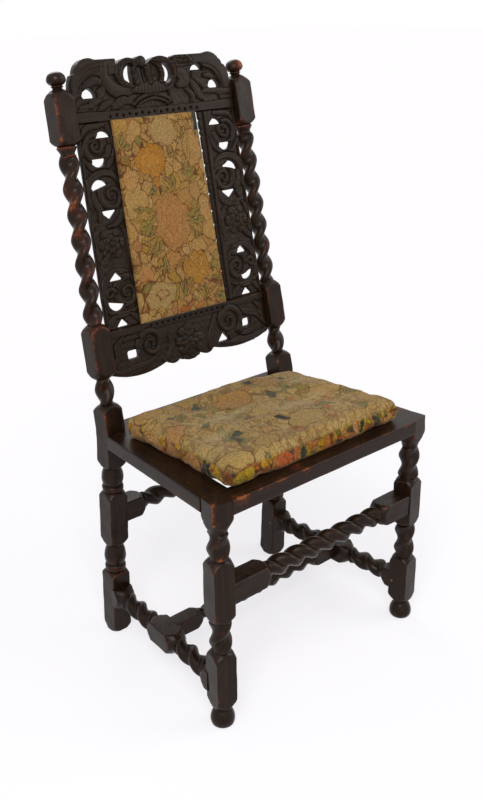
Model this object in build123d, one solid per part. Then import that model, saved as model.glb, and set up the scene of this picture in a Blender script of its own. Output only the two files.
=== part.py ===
from build123d import *
import os
from math import atan2, cos, degrees, hypot, pi, radians, sin, tan

# A joined and carved high-back side chair of turned, barley-twist walnut or beech.
# Millimetres, +Z up, +X to the sitter's left as seen from the front, the front faces -Y.
# The model is drawn from the line of the front legs (y = 0) and moved at the end, so that
# the origin lies on the floor under the middle of the chair's outline.

# ---- Stance ----
SEAT_HEIGHT = 450.0        # floor to the top of the seat frame
FRONT_SPREAD = 481.8       # between the axes of the front legs
REAR_SPREAD = 432.8        # between the axes of the rear posts at the seat
SEAT_DEPTH = 336.7         # from the axes of the front legs to those of the rear posts
LEG_TURN_OUT = 8.8         # each front leg is turned outwards by this, degrees
REAR_FOOT_SET_BACK = 27.7  # how far the rear feet stand behind the posts at the seat
BACK_RAKE = 10.76          # lean of the back, degrees from upright
BACK_TAPER = 1.46          # lean of each rear post towards the middle, degrees

# ---- Squares, shoulders and turnings ----
LEG_SIZE = 40.0            # the square of legs and posts
STRETCHER_SIZE = 41.0      # the square of the stretchers' blocks
MEDIAL_SIZE = 32.0         # the lighter square of the cross stretcher
SHOULDER = 18.0            # height of the rounded shoulder at each end of a square
SHOULDER_BOW = 2.6         # how far that shoulder swells
NECK_RADIUS = 15.5         # where a square meets its turning
TWIST_PITCH = 80.0         # a full turn of one strand in legs and stretchers
POST_TWIST_PITCH = 88.0    # the same in the tall posts of the back
LEG_TWIST_RIDGE = 40.0     # over the strands
LEG_TWIST_WAIST = 30.0     # between the strands
STRETCHER_TWIST_RIDGE = 38.0
STRETCHER_TWIST_WAIST = 25.0
POST_TWIST_RIDGE = 36.0
POST_TWIST_WAIST = 22.0
TWIST_RUN_IN = 9.0         # over which a twist dies into its neck
TWIST_SIDES = 12           # sides of a twist's section
TWIST_STEPS = 12           # sections in a full turn

# ---- Heights on a front leg; the turner set out each leg by eye ----
FOOT_HEIGHT = 39.0
FOOT_RADIUS = 22.5
FOOT_NECK_RADIUS = 16.5
LEFT_LOW_BLOCK_TOP = 157.0
RIGHT_LOW_BLOCK_TOP = 145.0
MID_BLOCK_BOTTOM = 217.5
LEFT_MID_BLOCK_TOP = 340.0
RIGHT_MID_BLOCK_TOP = 322.0
TOP_BLOCK_BOTTOM = 390.0

# ---- Heights on a rear post below the seat ----
REAR_FOOT_TOP = 146.0
REAR_BLOCK_BOTTOM = 202.0
REAR_BLOCK_TOP = 324.0
REAR_KNEE_BOTTOM = 374.0
BALUSTER_RADIUS = 21.3
BALUSTER_RING_RADIUS = 20.3

# ---- Heights on a rear post above the seat, measured up the slope of the back ----
KNEE_TOP = 51.0
LOW_SQUARE_BOTTOM = 100.0
LOW_SQUARE_TOP = 199.0
LONG_TWIST_TOP = 498.0
HIGH_SQUARE_BOTTOM = 513.0
HIGH_SQUARE_TOP = 605.0
FINIAL_CENTRE = 623.5
FINIAL_RADIUS = 17.0
FINIAL_HALF_HEIGHT = 13.5
FINIAL_NECK_RADIUS = 9.0
FINIAL_TOP_RADIUS = 4.0    # the small flat left by the lathe's centre

# ---- Seat frame ----
RAIL_THICKNESS = 27.0
FRONT_RAIL_WIDTH = 41.0
FRONT_RAIL_FRONT = 23.0    # its front face before the axes of the front legs
SIDE_RAIL_WIDTH = 56.0
SIDE_RAIL_OUT_FRONT = 20.0 # its outer edge outside the axis of the front leg
SIDE_RAIL_OUT_REAR = 19.0  # its outer edge outside the axis of the rear post
BACK_RAIL_WIDTH = 43.0
BACK_RAIL_FRONT = 18.0     # its front face before the axes of the rear posts
SEAT_PLUG_IN = 33.4        # plug in the front rail, inside the axis of the right leg
SEAT_PLUG_BACK = 7.4       # and behind it

# ---- Stretchers ----
FRONT_STRETCHER_HEIGHT = 270.0
REAR_STRETCHER_HEIGHT = 273.0
LOW_STRETCHER_HEIGHT = 87.0
MEDIAL_POSITION = 176.0      # of the cross stretcher behind the front legs' axes
FRONT_STRETCHER_LEFT = 84.0  # square length beside the left leg, with its shoulder
FRONT_STRETCHER_RIGHT = 71.0 # beside the right leg
REAR_STRETCHER_BLOCK = 46.0
SIDE_STRETCHER_BLOCK = 28.0
SIDE_STRETCHER_MIDDLE = 93.0
MEDIAL_BLOCK = 57.0

# ---- Joints ----
TENON_LENGTH = 16.0
TENON_THICKNESS = 10.0
STRETCHER_TENON_HEIGHT = 24.0
RAIL_TENON_WIDTH = 18.0
FIT = 0.15                 # clearance all round a tenon or a peg
PEG_DIAMETER = 6.5
PEG_LENGTH = 30.0
PEG_HEAD = 0.8             # a peg stands proud of the wood by this

# ---- Carved boards of the back, measured across and up the slope of the back ----
BOARD_FRONT = 8.0          # the carved faces stand this far before the posts' axes
CREST_THICKNESS = 20.0
LOWER_RAIL_THICKNESS = 18.0
STILE_THICKNESS = 12.0
CREST_FOOT = 547.0
CREST_SHOULDER = 598.0
CREST_WING_TOP = 652.0
CROWN_SHIFT = -9.0         # the carver set the crown and the lower rosette off centre
CROWN_HALF_WIDTH = 57.0
LOWER_RAIL_TOP = 181.0
LOWER_RAIL_END_FOOT = 98.0
STILE_INNER = 104.0
STILE_GAP = 2.5            # between a stile and the squares of the post beside it
BOARD_TENON_THICKNESS = 8.0
BOARD_TENON_HEIGHT = 42.0
STILE_TENON_DEPTH = 6.0
STILE_TENON_WIDTH = 40.0
STILE_TENON_THICKNESS = 6.0

# ---- Needlework panel ----
PANEL_LEFT = -118.0
PANEL_RIGHT = 85.0
PANEL_FOOT = 180.0
PANEL_HEAD = 548.5
PANEL_BOARD_THICKNESS = 5.0
NEEDLEWORK_THICKNESS = 3.0
NEEDLEWORK_WRAP = 1.5

# ---- Squab cushion ----
SQUAB_LEFT = -205.0
SQUAB_RIGHT = 195.0
SQUAB_FRONT = 12.0
SQUAB_REAR = 290.0
SQUAB_HEIGHT = 44.0
SQUAB_REST = 0.3           # air under the loose cushion

HALF = LEG_SIZE / 2
REAR_LEAN = degrees(atan2(REAR_FOOT_SET_BACK, SEAT_HEIGHT))
REAR_LEG_LENGTH = hypot(REAR_FOOT_SET_BACK, SEAT_HEIGHT)
BACK = Pos(0, SEAT_DEPTH, SEAT_HEIGHT) * Rot(-BACK_RAKE, 0, 0)


# ---------------------------------------------------------------- drawing
def path(start, *stretches):
    """Edges from start through (x, y, bow): straight where bow is 0, else an arc of that rise."""
    edges = []
    here = start
    for x, y, bow in stretches:
        there = (x, y)
        if there != here:
            edges.append(SagittaArc(here, there, bow) if bow else Line(here, there))
        here = there
    return edges


def turned(start, *stretches):
    """A turned solid about Z, from its profile of (radius, height, bow)."""
    end = stretches[-1]
    edges = path((0, start[1]), (*start, 0), *stretches, (0, end[1], 0), (0, start[1], 0))
    return revolve(Plane.XZ * make_face(edges), Axis.Z)


def block(bottom, top, size=LEG_SIZE, low_neck=NECK_RADIUS, high_neck=NECK_RADIUS):
    """A square length whose ends are turned to rounded shoulders; a neck of None leaves a flat end."""
    corner = size * 0.71
    start = (corner, bottom) if low_neck is None else (low_neck, bottom)
    stretches = []
    if low_neck is not None:
        stretches.append((corner, bottom + SHOULDER, -SHOULDER_BOW))
    if high_neck is None:
        stretches.append((corner, top, 0))
    else:
        stretches.append((corner, top - SHOULDER, 0))
        stretches.append((high_neck, top, -SHOULDER_BOW))
    square = Pos(0, 0, (bottom + top) / 2) * Box(size, size, top - bottom)
    return square & turned(start, *stretches)


def twist(bottom, top, ridge, waist, pitch):
    """A barley twist: two strands wound right-handed round Z, dying into a neck at each end.

    Many-sided sections, each turned a little more than the last, are joined by ruled faces.
    """
    length = top - bottom
    steps = round(TWIST_STEPS * length / pitch)
    swell = (ridge - waist) / 4
    sections = []
    for step in range(steps + 1):
        rise = length * step / steps
        turn = 2 * pi * rise / pitch
        run_in = min(1, rise / TWIST_RUN_IN, (length - rise) / TWIST_RUN_IN)
        limit = NECK_RADIUS + (ridge / 2 - NECK_RADIUS) * run_in
        corners = []
        for corner in range(TWIST_SIDES):
            angle = 2 * pi * corner / TWIST_SIDES
            radius = min(limit, waist / 2 + swell + swell * cos(2 * angle))
            corners.append((radius * cos(angle + turn), radius * sin(angle + turn), bottom + rise))
        sections.append(Wire.make_polygon(corners))
    return Solid.make_loft(sections, ruled=True)


def between(start, end):
    """Place of a bar: its Z axis runs from start to end and its X axis points up."""
    return Location(Plane(origin=start, x_dir=(0, 0, 1), z_dir=Vector(end) - Vector(start)))


def tenon(height, thickness, reach, length, clearance=0.0):
    """A tenon along Z that ends at reach from the joint's axis; X is its height."""
    grown = 2 * clearance
    box = Box(height + grown, thickness + grown, length + clearance)
    return Pos(0, 0, reach - clearance + (length + clearance) / 2) * box


def peg(clearance=0.0):
    """An eight-sided riven peg along Z, its head proud of z = 0."""
    outline = RegularPolygon(PEG_DIAMETER / 2 + clearance, 8)
    depth = PEG_LENGTH + clearance
    return Pos(0, 0, -PEG_HEAD) * extrude(outline, depth + PEG_HEAD)


# ---------------------------------------------------------------- places of the joined pieces
def front_leg_place(side):
    return Pos(side * FRONT_SPREAD / 2, 0, 0) * Rot(0, 0, side * LEG_TURN_OUT)


def lower_post_place(side):
    """Z runs up the lower length of a rear post, with z = 0 at the seat."""
    return Pos(side * REAR_SPREAD / 2, SEAT_DEPTH, SEAT_HEIGHT) * Rot(REAR_LEAN, 0, 0)


def upper_post_place(side):
    """Z runs up the upper length of a rear post, with z = 0 at the seat."""
    return BACK * Pos(side * REAR_SPREAD / 2, 0, 0) * Rot(0, -side * BACK_TAPER, 0)


def front_axis(side, height):
    return Vector(side * FRONT_SPREAD / 2, 0, height)


def rear_axis(side, height):
    set_back = REAR_FOOT_SET_BACK * (1 - height / SEAT_HEIGHT)
    return Vector(side * REAR_SPREAD / 2, SEAT_DEPTH + set_back, height)


def down(height):
    """Distance along a lower post from the seat to a height above the floor."""
    return (height - SEAT_HEIGHT) * REAR_LEG_LENGTH / SEAT_HEIGHT


def beyond(place, x, y, half=HALF):
    """All that lies behind the face of a post, or of a bar, that looks along x, y of its place."""
    far = 4 * SEAT_HEIGHT
    back = far / 2 - half
    return place * Pos(-x * back, -y * back) * Box(far, far, far)


def post_inner(slope):
    """Distance of a rear post's inner face from the middle, at a distance up the back."""
    return REAR_SPREAD / 2 - slope * tan(radians(BACK_TAPER)) - HALF / cos(radians(BACK_TAPER))


def medial_axis(side):
    """End of the cross stretcher's axis, over that of a side stretcher; their tops are level."""
    front = front_axis(side, LOW_STRETCHER_HEIGHT)
    rear = rear_axis(side, LOW_STRETCHER_HEIGHT)
    return front + (rear - front) * (MEDIAL_POSITION / rear.Y) + Vector(0, 0, MEDIAL_RAISE)


RAIL_LEVEL = SEAT_HEIGHT - RAIL_THICKNESS / 2
MEDIAL_RAISE = (STRETCHER_SIZE - MEDIAL_SIZE) / 2
FRONT_RAIL_TENON_BACK = -6.0   # middle of the front rail's tenons behind the leg axes
BACK_RAIL_MIDDLE = BACK_RAIL_WIDTH / 2 - BACK_RAIL_FRONT
CREST_TENON_MIDDLE = (CREST_FOOT + CREST_SHOULDER) / 2
LOWER_RAIL_TENON_MIDDLE = (LOW_SQUARE_BOTTOM + LOW_SQUARE_TOP) / 2
BOARD_TENON_BACK = CREST_THICKNESS / 2 - BOARD_FRONT


def stretcher_joint(point, towards):
    """Place, height, thickness and nearest reach of a stretcher's tenon."""
    return between(point, towards), STRETCHER_TENON_HEIGHT, TENON_THICKNESS, HALF - TENON_LENGTH


def rail_joint(point, towards, reach=HALF - TENON_LENGTH):
    return between(point, towards), TENON_THICKNESS, RAIL_TENON_WIDTH, reach


def front_stretcher_joint(side):
    level = FRONT_STRETCHER_HEIGHT
    return stretcher_joint(front_axis(side, level), front_axis(-side, level))


def rear_stretcher_joint(side):
    level = REAR_STRETCHER_HEIGHT
    return stretcher_joint(rear_axis(side, level), rear_axis(-side, level))


def side_stretcher_front_joint(side):
    level = LOW_STRETCHER_HEIGHT
    return stretcher_joint(front_axis(side, level), rear_axis(side, level))


def side_stretcher_rear_joint(side):
    level = LOW_STRETCHER_HEIGHT
    return stretcher_joint(rear_axis(side, level), front_axis(side, level))


def medial_joint(side):
    """The cross stretcher enters a side stretcher."""
    return stretcher_joint(medial_axis(side), medial_axis(-side))


def front_rail_joint(side):
    middle = Vector(0, FRONT_RAIL_TENON_BACK, 0)
    return rail_joint(front_axis(side, RAIL_LEVEL) + middle, front_axis(-side, RAIL_LEVEL) + middle)


def side_rail_front_joint(side):
    return rail_joint(front_axis(side, RAIL_LEVEL), rear_axis(side, RAIL_LEVEL), HALF / 2)


def side_rail_rear_joint(side):
    return rail_joint(rear_axis(side, RAIL_LEVEL), front_axis(side, RAIL_LEVEL), HALF / 2)


def back_rail_joint(side):
    middle = Vector(0, BACK_RAIL_MIDDLE, 0)
    return rail_joint(rear_axis(side, RAIL_LEVEL) + middle, rear_axis(-side, RAIL_LEVEL) + middle)


def board_joint(side, middle):
    """Tenon of a board of the back in a rear post, drawn up the slope of the back."""
    place = BACK * Pos(side * (post_inner(middle) + HALF), BOARD_TENON_BACK, middle) * Rot(0, -side * 90, 0)
    return place, BOARD_TENON_HEIGHT, BOARD_TENON_THICKNESS, HALF - TENON_LENGTH


def tongue(joint):
    """The tenon itself, rooted a little way inside its bar."""
    place, height, thickness, reach = joint
    return place * tenon(height, thickness, reach, HALF - reach + TENON_LENGTH / 2)


def mortise(joint):
    place, height, thickness, reach = joint
    return place * tenon(height, thickness, reach, HALF - reach + TENON_LENGTH / 2, FIT)


# ---------------------------------------------------------------- pegs
PEG_IN = HALF - TENON_LENGTH / 2


def back_peg(post, side, level):
    """Place of a peg driven into a post's back face, through a tenon from its inner side."""
    return post * Pos(-side * PEG_IN, HALF, level) * Rot(90, 0, 0)


def inner_peg(post, side, level, towards):
    """Place of a peg driven into a post's inner face, through a tenon from front or back."""
    return post * Pos(-side * HALF, towards * PEG_IN, level) * Rot(0, side * 90, 0)


def under_peg(side):
    """Place of a peg driven up into a side stretcher, through the cross stretcher's tenon."""
    return medial_joint(side)[0] * Pos(-MEDIAL_RAISE - STRETCHER_SIZE / 2, 0, PEG_IN) * Rot(0, 90, 0)


def front_leg_pegs(side):
    leg = front_leg_place(side)
    return [back_peg(leg, side, FRONT_STRETCHER_HEIGHT), inner_peg(leg, side, LOW_STRETCHER_HEIGHT, 1)]


def lower_post_pegs(side):
    post = lower_post_place(side)
    high = back_peg(post, side, down(REAR_STRETCHER_HEIGHT))
    return [high, inner_peg(post, side, down(LOW_STRETCHER_HEIGHT), -1)]


def upper_post_pegs(side):
    post = upper_post_place(side)
    levels = (LOWER_RAIL_TENON_MIDDLE, CREST_TENON_MIDDLE)
    return [back_peg(post, side, level) for level in levels]


def drilled(piece, places):
    for place in places:
        piece -= place * peg(FIT)
    return piece


def cut(piece, cutters):
    for cutter in cutters:
        piece -= cutter
    return piece


# ---------------------------------------------------------------- legs and posts
def foot():
    """A ball foot, worn flat below, under a narrow ring."""
    return turned(
        (FOOT_RADIUS * 0.72, 0),
        (FOOT_RADIUS, FOOT_HEIGHT * 0.4, -2.5),
        (FOOT_NECK_RADIUS - 2, FOOT_HEIGHT * 0.88, -1.5),
        (FOOT_NECK_RADIUS, FOOT_HEIGHT, 0),
    )


def baluster(bottom, top):
    """A flat ring and a barrel over it."""
    height = top - bottom
    return turned(
        (NECK_RADIUS, bottom),
        (BALUSTER_RING_RADIUS, bottom + height * 0.08, 0),
        (BALUSTER_RING_RADIUS, bottom + height * 0.2, 0),
        (BALUSTER_RING_RADIUS - 1.5, bottom + height * 0.25, 0),
        (BALUSTER_RADIUS, bottom + height * 0.58, -0.5),
        (NECK_RADIUS, top, -2),
    )


def front_leg(side):
    low_top = LEFT_LOW_BLOCK_TOP if side < 0 else RIGHT_LOW_BLOCK_TOP
    mid_top = LEFT_MID_BLOCK_TOP if side < 0 else RIGHT_MID_BLOCK_TOP
    low = block(FOOT_HEIGHT, low_top, low_neck=FOOT_NECK_RADIUS)
    middle = block(MID_BLOCK_BOTTOM, mid_top)
    top = block(TOP_BLOCK_BOTTOM, SEAT_HEIGHT, high_neck=None)
    low_twist = twist(low_top, MID_BLOCK_BOTTOM, LEG_TWIST_RIDGE, LEG_TWIST_WAIST, TWIST_PITCH)
    high_twist = twist(mid_top, TOP_BLOCK_BOTTOM, LEG_TWIST_RIDGE, LEG_TWIST_WAIST, TWIST_PITCH)
    leg = front_leg_place(side) * (foot() + low + low_twist + middle + high_twist + top)
    joints = (front_stretcher_joint, side_stretcher_front_joint, front_rail_joint, side_rail_front_joint)
    leg = cut(leg, [mortise(joint(side)) for joint in joints])
    return drilled(leg, front_leg_pegs(side))


def finial():
    """A ball on a ringed neck, on top of the post."""
    low = FINIAL_CENTRE - FINIAL_HALF_HEIGHT
    return turned(
        (NECK_RADIUS, HIGH_SQUARE_TOP),
        (FINIAL_NECK_RADIUS, low - 2, 0),
        (FINIAL_NECK_RADIUS + 2, low + 1, 0),
        (FINIAL_NECK_RADIUS, low + 3, 0),
        (FINIAL_RADIUS, FINIAL_CENTRE, -3),
        (FINIAL_TOP_RADIUS, FINIAL_CENTRE + FINIAL_HALF_HEIGHT, -4),
    )


def post_cup():
    """The turned cup between the tall twist and the square above it."""
    height = HIGH_SQUARE_BOTTOM - LONG_TWIST_TOP
    return turned(
        (NECK_RADIUS, LONG_TWIST_TOP),
        (NECK_RADIUS + 2, LONG_TWIST_TOP + height * 0.15, 0),
        (NECK_RADIUS + 2, LONG_TWIST_TOP + height * 0.35, 0),
        (NECK_RADIUS - 3, LONG_TWIST_TOP + height * 0.6, 0),
        (NECK_RADIUS, HIGH_SQUARE_BOTTOM, 0),
    )


def rear_post(side):
    """One post from floor to finial, bent at the seat."""
    knee = HALF * tan(radians((REAR_LEAN + BACK_RAKE) / 2))
    base = block(down(-SHOULDER), down(REAR_FOOT_TOP), low_neck=None)
    low_turning = baluster(down(REAR_FOOT_TOP), down(REAR_BLOCK_BOTTOM))
    square = block(down(REAR_BLOCK_BOTTOM), down(REAR_BLOCK_TOP))
    high_turning = baluster(down(REAR_BLOCK_TOP), down(REAR_KNEE_BOTTOM))
    low_knee = block(down(REAR_KNEE_BOTTOM), knee, high_neck=None)
    lower = lower_post_place(side) * (base + low_turning + square + high_turning + low_knee)
    high_knee = block(-knee, KNEE_TOP, low_neck=None)
    short = twist(KNEE_TOP, LOW_SQUARE_BOTTOM, POST_TWIST_RIDGE, POST_TWIST_WAIST, POST_TWIST_PITCH)
    low_square = block(LOW_SQUARE_BOTTOM, LOW_SQUARE_TOP)
    tall = twist(LOW_SQUARE_TOP, LONG_TWIST_TOP, POST_TWIST_RIDGE, POST_TWIST_WAIST, POST_TWIST_PITCH)
    high_square = block(HIGH_SQUARE_BOTTOM, HIGH_SQUARE_TOP)
    upper = high_knee + short + low_square + tall + post_cup() + high_square + finial()
    post = lower + upper_post_place(side) * upper
    floor = Pos(0, SEAT_DEPTH, -SEAT_HEIGHT / 2) * Box(2 * REAR_SPREAD, SEAT_DEPTH, SEAT_HEIGHT)
    joints = [rear_stretcher_joint(side), side_stretcher_rear_joint(side)]
    joints += [side_rail_rear_joint(side), back_rail_joint(side)]
    joints += [board_joint(side, LOWER_RAIL_TENON_MIDDLE), board_joint(side, CREST_TENON_MIDDLE)]
    post = cut(post, [floor] + [mortise(joint) for joint in joints])
    return drilled(post, lower_post_pegs(side) + upper_post_pegs(side))


# ---------------------------------------------------------------- stretchers
def stretcher(start, end, squares, cutters, size=STRETCHER_SIZE):
    """A bar along start-end: square over each (from, to) of squares, twisted between them."""
    ridge = min(STRETCHER_TWIST_RIDGE, size)
    waist = STRETCHER_TWIST_WAIST * ridge / STRETCHER_TWIST_RIDGE
    bar = None
    last = len(squares) - 1
    for number, (low, high) in enumerate(squares):
        low_neck = None if number == 0 else NECK_RADIUS
        high_neck = None if number == last else NECK_RADIUS
        square = block(low, high, size, low_neck, high_neck)
        bar = square if bar is None else bar + square
        if number < last:
            following = squares[number + 1][0]
            bar += twist(high, following, ridge, waist, TWIST_PITCH)
    return cut(between(start, end) * bar, cutters)


def end_squares(length, first, last, half=HALF):
    """Squares at both ends of a bar whose length runs between the axes of two posts."""
    return [(0, half + first), (length - half - last, length)]


def with_tenons(bar, joints, pegs):
    for joint in joints:
        bar += tongue(joint)
    return drilled(bar, pegs)


def front_stretcher():
    start = front_axis(-1, FRONT_STRETCHER_HEIGHT)
    end = front_axis(1, FRONT_STRETCHER_HEIGHT)
    squares = end_squares(FRONT_SPREAD, FRONT_STRETCHER_LEFT, FRONT_STRETCHER_RIGHT)
    legs = [beyond(front_leg_place(side), -side, 0) for side in (-1, 1)]
    bar = stretcher(start, end, squares, legs)
    pegs = [front_leg_pegs(side)[0] for side in (-1, 1)]
    return with_tenons(bar, [front_stretcher_joint(side) for side in (-1, 1)], pegs)


def rear_stretcher():
    start = rear_axis(-1, REAR_STRETCHER_HEIGHT)
    end = rear_axis(1, REAR_STRETCHER_HEIGHT)
    squares = end_squares(REAR_SPREAD, REAR_STRETCHER_BLOCK, REAR_STRETCHER_BLOCK)
    posts = [beyond(lower_post_place(side), -side, 0) for side in (-1, 1)]
    bar = stretcher(start, end, squares, posts)
    pegs = [lower_post_pegs(side)[0] for side in (-1, 1)]
    return with_tenons(bar, [rear_stretcher_joint(side) for side in (-1, 1)], pegs)


def side_stretcher(side):
    start = front_axis(side, LOW_STRETCHER_HEIGHT)
    end = rear_axis(side, LOW_STRETCHER_HEIGHT)
    length = (end - start).length
    centre = length * MEDIAL_POSITION / (end - start).Y
    first, last = end_squares(length, SIDE_STRETCHER_BLOCK, SIDE_STRETCHER_BLOCK)
    middle = (centre - SIDE_STRETCHER_MIDDLE / 2, centre + SIDE_STRETCHER_MIDDLE / 2)
    ends = [beyond(front_leg_place(side), 0, 1), beyond(lower_post_place(side), 0, -1)]
    bar = stretcher(start, end, [first, middle, last], ends)
    bar = with_tenons(bar, [side_stretcher_front_joint(side), side_stretcher_rear_joint(side)], [])
    bar -= mortise(medial_joint(side))
    return drilled(bar, [front_leg_pegs(side)[1], lower_post_pegs(side)[1], under_peg(side)])


def medial_stretcher():
    start = medial_axis(-1)
    end = medial_axis(1)
    squares = end_squares((end - start).length, MEDIAL_BLOCK, MEDIAL_BLOCK, STRETCHER_SIZE / 2)
    sides = []
    for side in (-1, 1):
        place = between(front_axis(side, LOW_STRETCHER_HEIGHT), rear_axis(side, LOW_STRETCHER_HEIGHT))
        sides.append(beyond(place, 0, -side, STRETCHER_SIZE / 2))
    bar = stretcher(start, end, squares, sides, MEDIAL_SIZE)
    pegs = [under_peg(side) for side in (-1, 1)]
    return with_tenons(bar, [medial_joint(side) for side in (-1, 1)], pegs)


# ---------------------------------------------------------------- seat frame
def seat_plug_place():
    plug_x = FRONT_SPREAD / 2 - SEAT_PLUG_IN
    return Pos(plug_x, SEAT_PLUG_BACK, SEAT_HEIGHT) * Rot(180, 0, 0) * Pos(0, 0, PEG_HEAD)


def seat_plug(clearance=0.0):
    """A short plug in the top of the front rail, level with it."""
    outline = RegularPolygon(PEG_DIAMETER / 2 + clearance, 8)
    return seat_plug_place() * Pos(0, 0, -PEG_HEAD) * extrude(outline, RAIL_THICKNESS / 2 + clearance)


def front_rail_body():
    middle = FRONT_RAIL_WIDTH / 2 - FRONT_RAIL_FRONT
    blank = Pos(0, middle, RAIL_LEVEL) * Box(FRONT_SPREAD, FRONT_RAIL_WIDTH, RAIL_THICKNESS)
    return cut(blank, [beyond(front_leg_place(side), -side, 0) for side in (-1, 1)])


def seat_front_rail():
    rail = front_rail_body()
    for side in (-1, 1):
        rail += tongue(front_rail_joint(side))
    return rail - seat_plug(FIT)


def seat_side_rail(side):
    out_front = FRONT_SPREAD / 2 + SIDE_RAIL_OUT_FRONT
    out_rear = REAR_SPREAD / 2 + SIDE_RAIL_OUT_REAR
    corners = [
        (side * out_front, 0),
        (side * out_rear, SEAT_DEPTH),
        (side * (out_rear - SIDE_RAIL_WIDTH), SEAT_DEPTH),
        (side * (out_front - SIDE_RAIL_WIDTH), 0),
    ]
    plan = make_face(Polyline(*corners, close=True))
    rail = Pos(0, 0, SEAT_HEIGHT - RAIL_THICKNESS) * extrude(plan, RAIL_THICKNESS, dir=(0, 0, 1))
    leg = beyond(front_leg_place(side), 0, 1)
    post = beyond(lower_post_place(side), 0, -1)
    rail = cut(rail, [leg, post, front_rail_body()])
    rail += tongue(side_rail_front_joint(side))
    return rail + tongue(side_rail_rear_joint(side))


def seat_back_rail():
    level = Pos(0, SEAT_DEPTH + BACK_RAIL_MIDDLE, RAIL_LEVEL)
    rail = level * Box(REAR_SPREAD, BACK_RAIL_WIDTH, RAIL_THICKNESS)
    for side in (-1, 1):
        rail = cut(rail, [beyond(lower_post_place(side), -side, 0), beyond(upper_post_place(side), -side, 0)])
        rail += tongue(back_rail_joint(side))
    return rail


# ---------------------------------------------------------------- carved boards
def board(face, thickness):
    """A board of the back from its face, drawn across (x) and up the slope (y)."""
    return BACK * extrude(Plane.XZ.offset(BOARD_FRONT - thickness) * face, thickness)


def outline(start, *stretches):
    return make_face(path(start, *stretches, (*start, 0)))


def rounded(points, radius):
    return fillet(make_face(Polyline(*points, close=True)).vertices(), radius)


def half_moon(x, y, width, height):
    """Flat below and arched above, or the reverse where height is negative."""
    return Pos(x, y - height / 2) * outline((-width / 2, 0), (width / 2, 0, 0), (-width / 2, 0, -height))


def wedge(x, y, width, height):
    """A triangle with soft corners, pointing up, or down where height is negative."""
    base = y - height / 2
    points = ((x - width / 2, base), (x + width / 2, base), (x, base + height))
    return rounded(points, 2)


def crescent(x, y, width, height, hollow):
    """An upright moon: its back bows out by width and its hollow side by a share of that."""
    low = (0, -height / 2)
    return Pos(x, y) * outline(low, (0, height / 2, width), (*low, -hollow * width))


# Pierced openings of a stile: shape, across, up the slope, width and height.
def stile_openings():
    leaf = Pos(154, 439) * Rot(0, 0, -14) * half_moon(0, 3, 36, 14)
    smile = Pos(160, 220) * Rot(0, 0, 14) * half_moon(0, 1, 35, -14)
    return [
        half_moon(129, 526, 32, 11),
        half_moon(146, 478, 30, -14),
        leaf,
        wedge(142, 386, 36, -16),
        wedge(151, 277, 31, 17),
        smile,
        wedge(152, 191, 27, 15),
    ]


def back_stile(side):
    """A pierced stile between lower rail and crest, its outer edge following the post."""
    low = post_inner(LOWER_RAIL_TOP) - STILE_GAP
    high = post_inner(CREST_FOOT) - STILE_GAP
    corners = (
        (STILE_INNER, LOWER_RAIL_TOP),
        (low, LOWER_RAIL_TOP),
        (high, CREST_FOOT),
        (STILE_INNER, CREST_FOOT),
    )
    face = cut(make_face(Polyline(*corners, close=True)), stile_openings())
    if side < 0:
        face = mirror(face, about=Plane.YZ)
    stile = board(face, STILE_THICKNESS)
    return stile + stile_tenons(side)


def stile_tenons(side, clearance=0.0):
    """The short tenons of a stile in the crest above and the lower rail below."""
    middle = (STILE_INNER + post_inner(CREST_FOOT)) / 2
    depth = STILE_THICKNESS / 2 - BOARD_FRONT
    centre = (LOWER_RAIL_TOP + CREST_FOOT) / 2
    long = CREST_FOOT - LOWER_RAIL_TOP + 2 * (STILE_TENON_DEPTH + clearance)
    grown = 2 * clearance
    rod = Box(STILE_TENON_WIDTH + grown, STILE_TENON_THICKNESS + grown, long)
    gap = Box(2 * STILE_TENON_WIDTH, LEG_SIZE, CREST_FOOT - LOWER_RAIL_TOP)
    return BACK * Pos(side * middle, depth, centre) * (rod - gap)


def crown_face():
    """Two hoops and an orb on a band, in the middle of the crest."""
    radius = CROWN_HALF_WIDTH / 2 - 2
    hoop_height = CREST_WING_TOP - radius
    base = Pos(0, (CREST_SHOULDER + hoop_height) / 2) * Rectangle(
        2 * CROWN_HALF_WIDTH, hoop_height - CREST_SHOULDER
    )
    crown = base + Pos(0, CREST_WING_TOP - 9) * Circle(12)
    for side in (-1, 1):
        crown += Pos(side * (radius + 4), hoop_height) * Circle(radius)
    return Pos(CROWN_SHIFT, 0) * crown


def crest_wing(side):
    """The scrolled leaf that fills the crest between the crown and the post, in its right-hand form."""
    inner = CROWN_HALF_WIDTH + side * CROWN_SHIFT
    outer = post_inner(CREST_SHOULDER) - 3
    face = outline(
        (0, CREST_FOOT),
        (outer + HALF, CREST_FOOT, 0),
        (outer + HALF, CREST_SHOULDER, 0),
        (outer, CREST_SHOULDER + 3, 0),
        (outer - 7, CREST_SHOULDER + 31, -2),
        (outer - 13, CREST_SHOULDER + 33, 0),
        (outer - 56, CREST_WING_TOP, -12),
        (inner + 6, CREST_WING_TOP, 0),
        (inner - 2, CREST_WING_TOP - 10, 4),
        (0, CREST_WING_TOP - 10, 0),
    )
    face = cut(face, [half_moon(142, CREST_SHOULDER - 1, 30, 17)])
    if side > 0:
        return face - half_moon(105, CREST_WING_TOP - 23, 32, 11)
    return mirror(face, about=Plane.YZ)


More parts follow.
